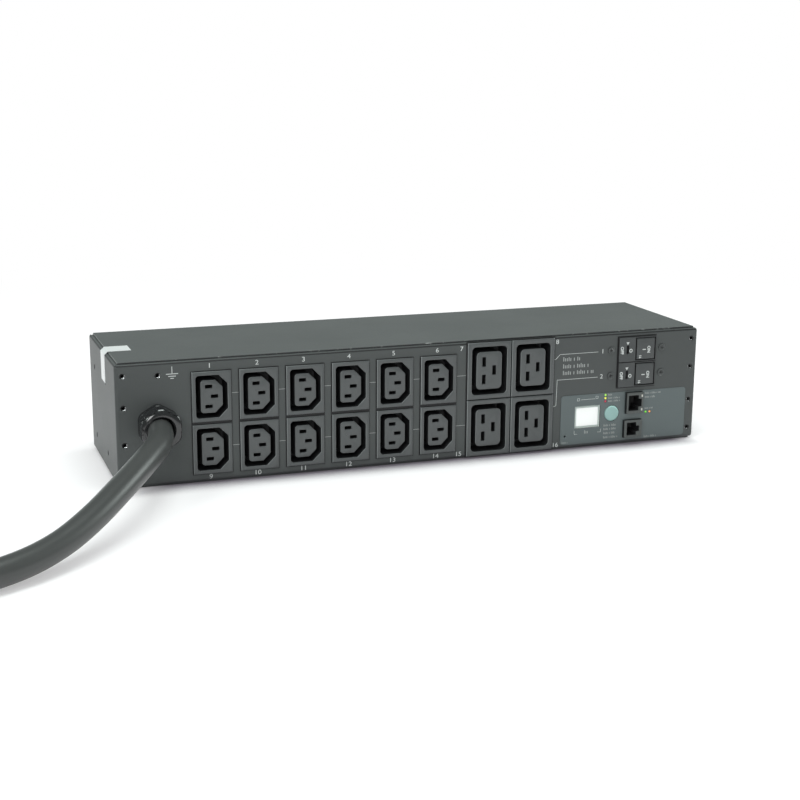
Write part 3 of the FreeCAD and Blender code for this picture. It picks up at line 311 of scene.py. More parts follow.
def middle_of(node):
    low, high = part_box(node)
    return (Vector(low) + Vector(high)) / 2


def feed(tree, socket, value):
    """Links a socket to another one, or sets its value."""
    if isinstance(value, NodeSocket):
        tree.links.new(value, socket)
    else:
        socket.default_value = value


def wire(tree, kind, inputs, **settings):
    """A shader node with its settings, and a value or a link for each of its sockets."""
    node = tree.nodes.new(kind)
    for label, value in settings.items():
        setattr(node, label, value)
    for label, value in inputs.items():
        feed(tree, node.inputs[label], value)
    return node


def noise(tree, vector, scale, detail, rough):
    sockets = {"Vector": vector, "Scale": scale, "Detail": detail, "Roughness": rough}
    return wire(tree, "ShaderNodeTexNoise", sockets).outputs[0]


def maths(tree, operation, first, second):
    return wire(tree, "ShaderNodeMath", {0: first, 1: second}, operation=operation).outputs[0]


def ramp(tree, value, start, end, low=0.0, high=1.0):
    """Goes evenly from low to high while a value goes from start to end."""
    sockets = {"Value": value, "From Min": start, "From Max": end, "To Min": low, "To Max": high}
    return wire(tree, "ShaderNodeMapRange", sockets).outputs["Result"]


def blended(tree, share, first, second):
    """A colour between two others."""
    node = wire(tree, "ShaderNodeMix", {0: share}, data_type="RGBA")
    for socket, colour in zip([s for s in node.inputs if s.type == "RGBA"], (first, second)):
        socket.default_value = (*colour, 1)
    return next(s for s in node.outputs if s.type == "RGBA")


def new_effect(name):
    """A node group's inner sockets: a place, and how fine its grain and its patches are."""
    group = bpy.data.node_groups.new(name, "ShaderNodeTree")
    for label, kind in (("Vector", "NodeSocketVector"), ("Grain", "NodeSocketFloat"), ("Patch", "NodeSocketFloat")):
        group.interface.new_socket(name=label, in_out="INPUT", socket_type=kind)
    for label in ("Height", "Tone"):
        group.interface.new_socket(name=label, in_out="OUTPUT", socket_type="NodeSocketFloat")
    return group, *group.nodes.new("NodeGroupInput").outputs[:3]


def close_effect(group, height, tone):
    """Leads a height for the bump and a tone for colour and gloss out of a node group."""
    wire(group, "NodeGroupOutput", {"Height": height, "Tone": tone})
    return group


def summed(tree, first, first_share, second, second_share):
    """Two tones added up by their shares."""
    pairs = ((first, first_share), (second, second_share))
    return maths(tree, "ADD", *(maths(tree, "MULTIPLY", tone, share) for tone, share in pairs))


def surface_grain():
    """Fine grain, and a patchy tone."""
    group, place, grain, patch = new_effect("surface_grain")
    fine = noise(group, place, grain, 3.0, 0.6)
    broad = noise(group, place, patch, 4.0, 0.55)
    return close_effect(group, fine, summed(group, fine, 0.45, broad, 0.55))


def drawn_streaks():
    """Long fine lines along one way, as on drawn or rolled metal."""
    group, place, grain, patch = new_effect("drawn_streaks")
    along = wire(group, "ShaderNodeMapping", {"Vector": place, "Scale": (0.04, 1.0, 1.0)}).outputs[0]
    lines = noise(group, along, grain, 2.0, 0.5)
    broad = noise(group, place, patch, 3.0, 0.5)
    return close_effect(group, lines, summed(group, lines, 0.6, broad, 0.4))


def edge_wear():
    """Rare bare specks in a coat of paint, and the paint's own grain."""
    group, place, grain, patch = new_effect("edge_wear")
    chips = ramp(group, noise(group, place, patch, 5.0, 0.7), 0.58, 0.74)
    return close_effect(group, noise(group, place, grain, 3.0, 0.6), chips)


def woven_cloth():
    """Crossing threads of a strap."""
    group, place, grain, patch = new_effect("woven_cloth")
    sockets = {"Vector": place, "Scale": grain, "Distortion": 0.6}
    threads = [wire(group, "ShaderNodeTexWave", sockets, bands_direction=way).outputs[1] for way in ("X", "Z")]
    height = maths(group, "MAXIMUM", *threads)
    return close_effect(group, height, maths(group, "MULTIPLY", height, noise(group, place, patch, 4.0, 0.6)))


EFFECTS = {"grain": surface_grain, "streaks": drawn_streaks, "weave": woven_cloth, "wear": edge_wear}
GROUPS = {}


def effect(kind):
    """The node group of an effect, made when it is first asked for."""
    if kind not in GROUPS:
        GROUPS[kind] = EFFECTS[kind]()
    return GROUPS[kind]


# Range of an effect's tone over which the gloss changes
GLOSS_BAND = (0.3, 0.7)


def finish(name, colour, spread, rough, grain, patch, bump, depth, kind="grain", light=1.0, metal=0.0, specular=0.5,
           glow=0.0, bare=None, sheen=PLAIN):
    """Material with a patchy colour and gloss and a fine bump, all from one effect."""
    material = bpy.data.materials.new(name)
    material.use_nodes = True
    tree = material.node_tree
    place = tree.nodes.new("ShaderNodeTexCoord").outputs["Object"]
    pattern = wire(tree, "ShaderNodeGroup", {}, node_tree=effect(kind))
    for label, value in (("Vector", place), ("Grain", grain), ("Patch", patch)):
        feed(tree, pattern.inputs[label], value)
    tone = pattern.outputs["Tone"]
    dark = [light * c * (1 - spread) for c in colour]
    pale = bare or [min(1.0, light * c * (1 + spread)) for c in colour]
    tint = blended(tree, tone, dark, pale)
    height = pattern.outputs["Height"]
    relief = wire(tree, "ShaderNodeBump", {"Strength": bump, "Distance": depth * MM, "Height": height})
    sockets = {
        "Base Color": tint, "Roughness": ramp(tree, tone, *GLOSS_BAND, *rough), "Normal": relief.outputs["Normal"],
        "Metallic": metal, "Specular IOR Level": specular, "Specular Tint": (*sheen, 1),
    }
    if glow:
        sockets.update({"Emission Color": tint, "Emission Strength": glow})
    for label, value in sockets.items():
        feed(tree, tree.nodes["Principled BSDF"].inputs[label], value)
    return material


STREAKED = {"metal": 1.0, "kind": "streaks"}
# Finish of each slot: material, colour or the setting that holds it, spread of the colour, roughness, fineness of
# grain and patches, strength of the bump, its depth in millimetres, and what else sets the finish apart
FINISH_ROWS = {
    "housing_paint": ("textured_paint", "paint", 0.10, (0.40, 0.50), 1700, 14, 0.22, 0.12,
                      {"sheen": (0.92, 1.0, 0.97), "specular": 0.36}),
    "worn_edge": ("worn_paint_edge", "paint", 0.0, (0.34, 0.42), 1700, 170, 0.2, 0.1,
                  {"kind": "wear", "bare": (0.42, 0.44, 0.43)}),
    "zinc_steel": ("zinc_plating", (0.52, 0.53, 0.54), 0.18, (0.25, 0.45), 1100, 60, 0.08, 0.1, STREAKED),
    "black_steel": ("black_oxide", (0.055, 0.057, 0.057), 0.25, (0.22, 0.34), 2200, 120, 0.05, 0.1, {"metal": 0.6}),
    "insert_steel": ("insert_plating", (0.40, 0.40, 0.41), 0.2, (0.16, 0.26), 2200, 120, 0.04, 0.1, {"metal": 0.9}),
    "brass_strip": ("stamped_brass", (0.72, 0.50, 0.20), 0.15, (0.25, 0.42), 900, 50, 0.06, 0.1, STREAKED),
    "breaker_plastic": ("breaker_moulding", (0.046, 0.050, 0.051), 0.25, (0.42, 0.55), 2600, 60, 0.15, 0.1, {}),
    "rocker_plastic": ("rocker_moulding", (0.048, 0.052, 0.053), 0.25, (0.30, 0.42), 2600, 60, 0.08, 0.1, {}),
    "tinned_metal": ("tin_plating", (0.62, 0.62, 0.61), 0.12, (0.22, 0.4), 1000, 80, 0.05, 0.1, STREAKED),
    "overlay_film": ("overlay_film", "film", 0.10, (0.34, 0.42), 3000, 20, 0.10, 0.06, {}),
    # Painted glow: the blank display gives off a little light of its own
    "display_white": ("display_diffuser", (0.88, 0.89, 0.88), 0.03, (0.25, 0.35), 1800, 40, 0.04, 0.06, {"glow": 0.04}),
    # Painted shade: the display's chamfer and sides darker than its face
    "display_rim": ("display_rim", (0.64, 0.71, 0.68), 0.04, (0.25, 0.35), 1800, 40, 0.04, 0.06, {}),
    # Painted highlight: the pale colour of the network jack's corner windows
    "jack_window": ("jack_window", (0.46, 0.46, 0.42), 0.06, (0.12, 0.2), 1800, 90, 0.04, 0.06, {}),
    "button_film": ("button_elastomer", "button", 0.12, (0.42, 0.55), 2400, 70, 0.12, 0.08, {}),
    # Painted highlight: the button's colour made lighter on its edge toward the upper right
    "button_edge": ("button_edge", "button", 0.05, (0.3, 0.4), 2400, 70, 0.05, 0.05, {"light": 1.7}),
    "jack_plastic": ("jack_moulding", (0.058, 0.064, 0.062), 0.25, (0.30, 0.42), 2600, 90, 0.1, 0.1, {}),
    "gold_contact": ("gold_plating", (0.85, 0.62, 0.22), 0.1, (0.2, 0.32), 1500, 120, 0.04, 0.05, STREAKED),
    "board_green": ("solder_mask", (0.020, 0.115, 0.050), 0.3, (0.28, 0.42), 1400, 140, 0.12, 0.1, {}),
    "gland_plastic": ("gland_nylon", (0.008, 0.008, 0.009), 0.3, (0.09, 0.15), 1500, 60, 0.02, 0.04, {"specular": 0.8}),
    "seal_rubber": ("seal_rubber", (0.020, 0.020, 0.021), 0.3, (0.55, 0.7), 1800, 80, 0.2, 0.1, {}),
    "cord_rubber": ("cord_sheath", "cord", 0.16, (0.32, 0.39), 900, 22, 0.03, 0.06, {}),
    "tie_fabric": ("strap_weave", (0.030, 0.030, 0.032), 0.5, (0.75, 0.92), 420, 60, 0.8, 0.4, {"kind": "weave"}),
    "plug_grey": ("plug_grey", (0.50, 0.51, 0.51), 0.10, (0.38, 0.5), 1600, 40, 0.12, 0.1, {}),
    "plug_blue": ("plug_blue", (0.020, 0.085, 0.38), 0.14, (0.32, 0.46), 1600, 40, 0.12, 0.1, {}),
    "brass_pin": ("turned_brass", (0.78, 0.60, 0.30), 0.12, (0.2, 0.34), 1500, 60, 0.05, 0.1, STREAKED),
    "terminal_plastic": ("terminal_moulding", (0.52, 0.50, 0.44), 0.1, (0.4, 0.52), 1700, 60, 0.12, 0.1, {}),
    "wire_sleeve": ("wire_sleeve", (0.035, 0.035, 0.037), 0.3, (0.35, 0.5), 1500, 50, 0.1, 0.1, {}),
    "core_steel": ("core_laminations", (0.30, 0.30, 0.31), 0.3, (0.4, 0.55), 2200, 60, 0.2, 0.1,
                   {"metal": 0.9, "kind": "streaks"}),
    "sensor_plastic": ("sensor_moulding", (0.06, 0.06, 0.065), 0.2, (0.4, 0.52), 1700, 60, 0.1, 0.1, {}),
    "seal_film": ("seal_film", (0.67, 0.68, 0.68), 0.03, (0.26, 0.34), 900, 30, 0.03, 0.05, {"metal": 0.2}),
    "outlet_plastic": ("outlet_moulding", "moulding", 0.14, (0.32, 0.42), 2200, 45, 0.12, 0.1, {}),
    # Painted highlight: the moulding made lighter on edges that face the light
    "moulding_edge": ("moulding_edge", "moulding", 0.2, (0.26, 0.34), 2200, 120, 0.05, 0.05, {"light": 2.3}),
    # Painted shade: a near-black coat for recesses, sides turned from the light, fold lines and gaps, where there is
    # only shade
    "throat": ("outlet_throat", (0.008, 0.008, 0.009), 0.3, (0.5, 0.62), 2200, 45, 0.14, 0.1, {}),
    "ink": ("panel_ink", "ink", 0.06, (0.45, 0.55), 2600, 90, 0.05, 0.04, {}),
    "faint_ink": ("fine_ink", "ink", 0.06, (0.45, 0.55), 2600, 90, 0.05, 0.04, {"light": 0.6}),
}
# Lights from left to right, and from below up where they stand over each other
LED_COLOURS = {
    "status_light_low": (0.46, 0.05, 0.09), "status_light_middle": (0.75, 0.72, 0.12),
    "status_light_top": (0.34, 0.66, 0.12), "link_light_left": (0.20, 0.66, 0.08),
    "link_light_right": (0.78, 0.32, 0.10),
}
# What follows the colour in a light's row of the finishes
LED_GLASS = (0.12, (0.15, 0.25), 2500, 200, 0.03, 0.05, {"glow": 0.24})
FINISH_ROWS.update({name: (name + "_lens", colour, *LED_GLASS) for name, colour in LED_COLOURS.items()})
FINISHES = {}


def coat_of(slot):
    """The finish of a slot, made when it is first asked for."""
    if slot not in FINISHES:
        name, colour, *numbers, extras = FINISH_ROWS[slot]
        if isinstance(colour, str):
            colour = getattr(bpy.context.scene.power_unit_finish, colour)
        FINISHES[slot] = finish(name, colour, *numbers, **extras)
    return FINISHES[slot]


class POWERUNIT_OT_stage(Operator):
    """Sets the camera, the floor, the lamps and the white room"""
    bl_idname = "power_unit.stage"
    bl_label = "Stage"

    def execute(self, context):
        settings = context.scene.power_unit_stage
        context.scene.view_settings.view_transform = "Standard"
        set_camera(settings)
        set_floor(settings)
        set_room(settings)
        for name, place, size, tint in LAMPS:
            add_lamp(name + "_lamp", place, size, getattr(settings, name + "_power"), tint)
        return {"FINISHED"}


COOL = (0.91, 1.0, 0.97)
# Place, size and tint of each lamp
LAMPS = (
    ("top", (0.0, -0.3, 1.9), 0.9, COOL), ("key", (-1.25, -0.95, 1.05), 0.5, COOL),
    ("fill", (-0.9, -1.7, 0.8), 0.6, PLAIN), ("rim", (-1.2, 0.85, 0.4), 0.5, COOL),
    ("side", (1.35, 0.2, 0.62), 0.6, COOL),
)
AIM = Vector((0.0, -0.02, 0.04))
# Width of the camera's sensor in millimetres, and the nearest that it sees in metres
SENSOR = 36.0
NEAREST = 0.01


def set_camera(settings):
    yaw = settings.camera_yaw
    pitch = settings.camera_pitch
    forward = Vector((math.sin(yaw) * math.cos(pitch), math.cos(yaw) * math.cos(pitch), -math.sin(pitch)))
    right = Vector((math.cos(yaw), -math.sin(yaw), 0))
    up = right.cross(forward)
    lean = Matrix.Rotation(settings.camera_roll, 3, -forward)
    turn = Matrix((lean @ right, lean @ up, -forward)).transposed()
    clear_selection()
    bpy.ops.object.camera_add(location=settings.camera_place, rotation=turn.to_euler())
    camera = bpy.context.object
    camera.name = "photo_camera"
    camera.data.lens = settings.lens
    camera.data.sensor_width = SENSOR
    camera.data.clip_start = NEAREST
    bpy.context.scene.camera = camera


def seen_directly(tree):
    """1 for what the camera, a reflection or glass sees, and 0 for light on the way."""
    path = tree.nodes.new("ShaderNodeLightPath")
    seen = maths(tree, "MAXIMUM", path.outputs["Is Camera Ray"], path.outputs["Is Glossy Ray"])
    return maths(tree, "MAXIMUM", seen, path.outputs["Is Transmission Ray"])


def mix_shaders(tree, share, first, second, end):
    """Leads two shaders to the end of a tree, the second with the given share."""
    blend = wire(tree, "ShaderNodeMixShader", {0: share})
    for socket, shader in zip(blend.inputs[1:], (first, second)):
        tree.links.new(shader, socket)
    tree.links.new(blend.outputs["Shader"], tree.nodes[end].inputs["Surface"])


FLOOR_DROP = 0.0004
FLOOR_TONE = (0.97, 0.94, 0.955)
CONTACT_TONE = (0.24, 0.22, 0.25)
# Openness of the floor from full to no contact shade, and the stretches at the housing's ends where the shade goes out
CONTACT_BAND = (0.5, 0.97)
CONTACT_ENDS = ((-0.185, -0.225), (0.205, 0.225))
# Distances from the middle between which the floor turns to plain white
FLOOR_FADE = (0.35, 0.9)


def set_floor(settings):
    clear_selection()
    bpy.ops.mesh.primitive_plane_add(size=settings.floor_size, location=(0, 0, -FLOOR_DROP))
    floor = settled()
    floor.name = "studio_floor"
    material = bpy.data.materials.new("studio_white")
    material.use_nodes = True
    tree = material.node_tree
    shader = tree.nodes["Principled BSDF"]
    shader.inputs["Roughness"].default_value = 0.9
    shader.inputs["Specular IOR Level"].default_value = 0.0
    white = tree.nodes.new("ShaderNodeEmission")
    place = tree.nodes.new("ShaderNodeTexCoord").outputs["Object"]
    clear = clear_of_contact(tree, place, settings.contact_reach)
    for socket, tone in ((shader.inputs["Base Color"], FLOOR_TONE), (white.inputs["Color"], PLAIN)):
        tree.links.new(blended(tree, clear, CONTACT_TONE, tone), socket)
    reach = wire(tree, "ShaderNodeVectorMath", {0: place}, operation="LENGTH").outputs["Value"]
    fade = ramp(tree, reach, *FLOOR_FADE, settings.floor_white)
    share = maths(tree, "MULTIPLY", seen_directly(tree), fade)
    mix_shaders(tree, share, shader.outputs["BSDF"], white.outputs["Emission"], "Material Output")
    floor.data.materials.append(material)


def clear_of_contact(tree, place, reach):
    """0 on the floor close under the object, and 1 away from it and beside the housing's ends."""
    contact = wire(tree, "ShaderNodeAmbientOcclusion", {"Distance": reach}, samples=12)
    across = wire(tree, "ShaderNodeSeparateXYZ", {0: place}).outputs["X"]
    clear = ramp(tree, contact.outputs["AO"], *CONTACT_BAND)
    for ends in CONTACT_ENDS:
        clear = maths(tree, "MAXIMUM", clear, ramp(tree, across, *ends))
    return clear


ROOM_TINT = (0.97, 1.0, 0.995)
WALL_TINT = (0.90, 1.0, 0.965)
# Upward and backward parts of a direction, from no wall to full wall
WALL_TOP = (0.42, 0.06)
WALL_SIDE = (-0.25, 0.2)


def set_room(settings):
    """White for the camera, an even light on the object, and for gloss a pale wall behind under a grey ceiling."""
    world = bpy.data.worlds.new("white_room")
    bpy.context.scene.world = world
    world.use_nodes = True
    tree = world.node_tree
    light = tree.nodes["Background"]
    light.inputs["Color"].default_value = (*ROOM_TINT, 1)
    light.inputs["Strength"].default_value = settings.room_light
    place = tree.nodes.new("ShaderNodeTexCoord").outputs["Generated"]
    way = wire(tree, "ShaderNodeSeparateXYZ", {0: place}).outputs
    wall = maths(tree, "MULTIPLY", ramp(tree, way["Z"], *WALL_TOP), ramp(tree, way["Y"], *WALL_SIDE))
    camera_ray = tree.nodes.new("ShaderNodeLightPath").outputs["Is Camera Ray"]
    tone = ramp(tree, maths(tree, "MAXIMUM", wall, camera_ray), 0.0, 1.0, settings.ceiling)
    tint = blended(tree, camera_ray, WALL_TINT, PLAIN)
    white = wire(tree, "ShaderNodeBackground", {"Color": tint, "Strength": tone})
    mix_shaders(tree, seen_directly(tree), light.outputs["Background"], white.outputs["Background"], "World Output")


def add_lamp(name, place, size, power, tint):
    clear_selection()
    aim = (AIM - Vector(place)).to_track_quat("-Z", "Y").to_euler()
    bpy.ops.object.light_add(type="AREA", location=place, rotation=aim)
    lamp = bpy.context.object
    lamp.name = name
    lamp.data.size = size
    lamp.data.energy = power
    lamp.data.color = tint


class POWERUNIT_OT_cord(Operator):
    """Lays the supply cord from the gland to its coil and on to the plug"""
    bl_idname = "power_unit.cord"
    bl_label = "Supply cord"

    def execute(self, context):
        settings = context.scene.power_unit_cord
        clear_selection()
        bpy.ops.curve.primitive_nurbs_path_add()
        cord = bpy.context.object
        route = list(CORD_ROUTE[:-1]) + coil_points(settings) + tail_points(settings)
        cord.data.splines.clear()
        spline = cord.data.splines.new("NURBS")
        spline.points.add(len(route) - 1)
        for point, place in zip(spline.points, route):
            point.co = (*place, 1)
        spline.order_u = 3
        spline.use_endpoint_u = True
        cord.data.dimensions = "3D"
        cord.data.resolution_u = 6
        cord.data.bevel_depth = settings.diameter / 2
        cord.data.bevel_resolution = 7
        cord.data.use_fill_caps = True
        settle(cord)
        dress(cord, "supply_cord_sheath", "cord_rubber", ("supply_cord", "cord_coil", "cord_tail"))
        return {"FINISHED"}


def coil_middle(settings):
    x, y = CORD_ROUTE[-1][:2]
    return x, y + settings.outer_turn


# Turns after which the cord draws in, climbs, and lies on top of the lower turns
DRAWS_IN, CLIMBS, ON_TOP = 2.5, 2.75, 3.0


def coil_place(settings, turn):
    """Radius and height of the cord's middle after some turns: three inward below, then outward on top."""
    low = CORD_ROUTE[-1][2]
    inner = settings.outer_turn - ON_TOP * settings.turn_pitch
    if turn < DRAWS_IN:
        return settings.outer_turn - settings.turn_pitch * turn, low
    if turn < CLIMBS:
        start = settings.outer_turn - settings.turn_pitch * DRAWS_IN
        return start + (inner - start) * (turn - DRAWS_IN) / (CLIMBS - DRAWS_IN), low
    if turn < ON_TOP:
        return inner, low + settings.diameter * (turn - CLIMBS) / (ON_TOP - CLIMBS)
    return inner + settings.turn_pitch * (turn - ON_TOP), low + settings.diameter


def coil_points(settings):
    """Control points of the coil, set outward so that the spline keeps its radius."""
    step = 2 * math.pi / settings.points_per_turn
    widen = 1 / (0.75 + 0.25 * math.cos(step))
    x, y = coil_middle(settings)
    points = []
    for i in range(round(settings.turns * settings.points_per_turn) + 1):
        radius, height = coil_place(settings, i / settings.points_per_turn)
        radius *= widen
        points.append((x - radius * math.sin(i * step), y - radius * math.cos(i * step), height))
    return points


def tail_points(settings):
    x, y = coil_middle(settings)
    radius = coil_place(settings, settings.turns)[0]
    return [(x - radius, y + along, z) for along, z in TAIL_RUN]


# Pieces of the plug: name, CAD node, slot and rounding of the edges
PLUG_LOOKS = (
    ("plug_nut_moulding", "plug_cord_nut", "plug_grey", 0.0008),
    ("plug_handle", "plug_shell", "plug_blue", 0.0009),
    ("plug_pin_disc", "plug_insert", "plug_grey", 0.0004),
    ("plug_pin_set", "plug_pins", "brass_pin", 0.0007),
)


class POWERUNIT_OT_plug(Operator):
    """Finishes the plug at the cord's end"""
    bl_idname = "power_unit.plug"
    bl_label = "Plug"

    def execute(self, context):
        for name, node, slot, width in PLUG_LOOKS:
            softened(node, name, slot, width)
        return {"FINISHED"}


# Share of a turn at which the coil passes the angle 0
COIL_START = 0.75
# Angles of the straps round the coil in degrees, their gap to the cord and the rounding of their edges
STRAP_ANGLES = (100, 215, 330)
STRAP_GAP = 0.0003
STRAP_EDGE = 0.0003


class POWERUNIT_OT_straps(Operator):
    """Winds the straps round the coil"""
    bl_idname = "power_unit.straps"
    bl_label = "Coil straps"

    def execute(self, context):
        settings = context.scene.power_unit_cord
        straps = join([bent_strap(settings, math.radians(angle)) for angle in STRAP_ANGLES])
        dress(straps, "coil_straps", "tie_fabric", ("coil_ties",))
        return {"FINISHED"}


def bent_strap(settings, angle):
    """A flat band drawn tight about the turns that the coil has at an angle."""
    turn = (COIL_START - angle / (2 * math.pi)) % 1
    rods = []
    while turn < settings.turns:
        radius, height = coil_place(settings, turn)
        clear_selection()
        bpy.ops.mesh.primitive_cylinder_add(vertices=40, radius=settings.diameter / 2 + STRAP_GAP,
                                            depth=settings.strap_width, location=(radius, 0, height),
                                            rotation=ALONG_DEPTH)
        rods.append(settled())
        turn += 1
    strap = join(rods)
    select_faces(strap, lambda middle, normal: True)
    bpy.ops.mesh.convex_hull()
    bpy.ops.mesh.select_all(action="SELECT")
    bpy.ops.mesh.normals_make_consistent(inside=False)
    select_faces(strap, lambda middle, normal: abs(normal.y) > 0.9)
    bpy.ops.mesh.delete(type="FACE")
    set_mode("OBJECT")
    apply_modifier(strap, "SOLIDIFY", thickness=settings.strap_thickness, offset=1.0)
    round_edges(strap, STRAP_EDGE, angle=40)
    strap.rotation_euler = (0, 0, angle)
    strap.location = (*coil_middle(settings), 0)
    settle(strap)
    return strap


# Broken edges of the sheets: their width, and the least length of an edge that is broken, in metres
WORN_WIDTH = 0.0004
LONG_FOLD = 0.03
# Painted shade lines on the top fold and at the cover's edge: height from the fold in metres, and band of the normals
FOLD_PAINTED_SHADE = {"wrap_sheet": (-0.002, 0.34, 0.75), "cover_sheet": (0.0, -0.3, 0.3)}


class POWERUNIT_OT_housing(Operator):
    """Paints the sheet metal with painted shade lines at the top fold, and finishes the threaded holes and the seal
    strip
    """
    bl_idname = "power_unit.housing"
    bl_label = "Housing"

    def execute(self, context):
        for node, name in (("chassis_wrap", "wrap_sheet"), ("top_cover", "cover_sheet")):
            sheet = copied_solid(node)
            dress(sheet, name, "housing_paint", (node,))
            wear_folds(sheet)
            start, flattest, steepest = FOLD_PAINTED_SHADE[name]
            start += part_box("chassis_wrap")[1][2]
            # Painted shade: near-black lines on the fold and the cover's edge
            second_finish(sheet, "throat", lambda middle, normal: middle.z > start and flattest < normal.z < steepest)
        threaded_inserts()
        paint_node("base_plate", "housing_paint")
        paint_node("base_rivets", "black_steel")
        paint_node("seal_strip", "seal_film")
        return {"FINISHED"}


def wear_folds(sheet):
    """Breaks the long sharp edges of a sheet, and gives the broken edge its own finish."""
    sheet.data.materials.append(coat_of("worn_edge"))
    select_edges(sheet, lambda a, b: (a - b).length > LONG_FOLD, sharp=40)
    bpy.ops.mesh.bevel(offset=WORN_WIDTH, segments=2, affect="EDGES", material=1, clamp_overlap=True)
    set_mode("OBJECT")
    bpy.ops.object.shade_flat()


# Countersunk lip of a threaded insert: radius at the front, radius behind, depth, wall and rounding, in metres
INSERT_LIP = (0.00188, 0.00115, 0.00058, 0.0001, 0.00015)
# Place of the lip's middle as a share of its depth, and how far a face of the lip must face up and outwards to keep its
# bright metal; the rest is painted near-black as shade, so that only one side glints
LIP_PLACE = 0.55
LIP_UNSHADED_LEAST = 0.25
# How far behind the panel's face a nut of the front starts at most
NUT_REACH = 0.004


def threaded_inserts():
    """The nuts behind the holes, with a lip in each hole of the front, painted near-black as shade save on the side
    that glints.
    """
    wide, narrow, deep, wall, edge = INSERT_LIP
    pieces = []
    for nut in loose_pieces("clinch_nuts"):
        pieces.append(nut)
        low, high = (Vector(nut.bound_box[i]) for i in (0, 6))
        middle = (low + high) / 2
        if high.y - low.y > high.x - low.x or low.y > PANEL_FACE + NUT_REACH:
            continue
        clear_selection()
        bpy.ops.mesh.primitive_cone_add(vertices=24, radius1=wide, radius2=narrow, depth=deep, end_fill_type="NOTHING",
                                        location=(middle.x, PANEL_FACE + deep * LIP_PLACE, middle.z),
                                        rotation=(math.radians(-90), 0, 0))
        lip = settled()
        apply_modifier(lip, "SOLIDIFY", thickness=wall, offset=1.0)
        pieces.append(lip)
    piece = join(pieces)
    round_edges(piece, edge, angle=40)
    dress(piece, "threaded_inserts", "zinc_steel", ("clinch_nuts",), coat="insert_steel")
    # Painted shade on the lip's faces that don't face up and outwards, so that the glint shows on one side only
    second_finish(piece, "throat", lambda middle, normal: middle.y < PANEL_FACE + 2 * deep
                  and normal.z + math.copysign(normal.x, middle.x * normal.x) < LIP_UNSHADED_LEAST)


# Depth in metres behind an outlet's face from which its recess is painted near-black as shade
SHADE_START = 0.0012
# Distances from an outlet's middle, as shares of its size, at which its flange starts, from where edges get the painted
# highlight, and at which the flange's sides start, which get the painted shade
FLANGE_START = 0.28
FLANGE_SIDE = 0.485
# Forward part of a normal, up to which a face is a side and from which it is a front
SIDE, FRONT = 0.3, 0.97
# Weights across and from above by which an edge's normal is scored, and the least score that gets the painted highlight
EDGE_ACROSS, EDGE_ABOVE, HIGHLIGHT_LEAST = 0.85, 0.35, 0.3
# Width of the painted shade round the flanges of small and large outlets, a dark plate where the gaps are
SMALL_GAP = 0.0005
LARGE_GAP = 0.0008


class POWERUNIT_OT_outlets(Operator):
    """Softens the edges of the outlets' mouldings, with painted highlights on some edges, painted shade in the recesses
    and on the flanges' sides, and dark plates as painted shade round the flanges
    """
    bl_idname = "power_unit.outlets"
    bl_label = "Outlets"

    def execute(self, context):
        width = context.scene.power_unit_finish.edge_round
        for node in SMALL_OUTLETS + LARGE_OUTLETS:
            piece = softened(node, node.replace("outlet", "moulding"), "outlet_plastic", width)
            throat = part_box(node)[0][1] + SHADE_START
            share = share_from_middle(node)
            large = node in LARGE_OUTLETS
            # Painted highlight on edges away from the middle that lean left and up, or to either side and up on large
            # outlets
            second_finish(piece, "moulding_edge", lambda middle, normal: SIDE < abs(normal.y) < FRONT
                          and EDGE_ACROSS * (abs(normal.x) if large else -normal.x)
                          + EDGE_ABOVE * normal.z > HIGHLIGHT_LEAST and share(middle) > FLANGE_START)
            # Painted shade: the recess and the flange's sides in near-black
            second_finish(piece, "throat", lambda middle, normal: middle.y > throat
                          or abs(normal.y) < SIDE and share(middle) > FLANGE_SIDE)
        groups = [(pair, SMALL_GAP) for pair in zip(SMALL_OUTLETS[:6], SMALL_OUTLETS[6:])]
        groups.append((LARGE_OUTLETS, LARGE_GAP))
        shade_plates = [seat_plate([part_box(node) for node in nodes], gap) for nodes, gap in groups]
        # Dark plates as painted shade round the flanges, dressed in the rubber slot
        dress(join(shade_plates), "outlet_seats", "seal_rubber", coat="throat")
        return {"FINISHED"}


def share_from_middle(node):
    """A test of how far a place lies from a node's middle, as a share of the node's width or height."""
    low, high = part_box(node)
    return lambda place: max(abs(place[i] - (low[i] + high[i]) / 2) / (high[i] - low[i]) for i in (0, 2))


# How far a plate of painted shade reaches under a flange, and how thick it is, in metres
SHADE_PLATE_LAP = 0.0004
SHADE_PLATE_HEIGHT = 0.0002


def seat_plate(boxes, margin):
    """A thin dark plate under a group of flanges, painted shade that shows as the gaps round them."""
    spans = [sorted({(low[axis], high[axis]) for low, high in boxes}) for axis in (0, 2)]
    (left, right), (bottom, top) = ((min(a for a, b in span) - margin, max(b for a, b in span) + margin)
                                    for span in spans)
    clear_selection()
    bpy.ops.mesh.primitive_plane_add(size=1, location=((left + right) / 2, PANEL_FACE, (bottom + top) / 2),
                                     rotation=ALONG_DEPTH)
    plate = bpy.context.object
    plate.scale = (right - left, top - bottom, 1)
    settle(plate)
    set_mode("EDIT")
    for span, across in zip(spans, ((1, 0, 0), (0, 0, 1))):
        for low, high in span:
            for cut in (low + SHADE_PLATE_LAP, high - SHADE_PLATE_LAP):
                bpy.ops.mesh.select_all(action="SELECT")
                bpy.ops.mesh.bisect(plane_co=[cut * part for part in across], plane_no=across)
    set_mode("OBJECT")
    select_faces(plate, lambda middle, normal: any(
        low[0] + SHADE_PLATE_LAP < middle.x < high[0] - SHADE_PLATE_LAP and low[2] + SHADE_PLATE_LAP < middle.z < high[2] - SHADE_PLATE_LAP
        for low, high in boxes))
    bpy.ops.mesh.delete(type="FACE")
    set_mode("OBJECT")
    apply_modifier(plate, "SOLIDIFY", thickness=SHADE_PLATE_HEIGHT, offset=1.0)
    return plate


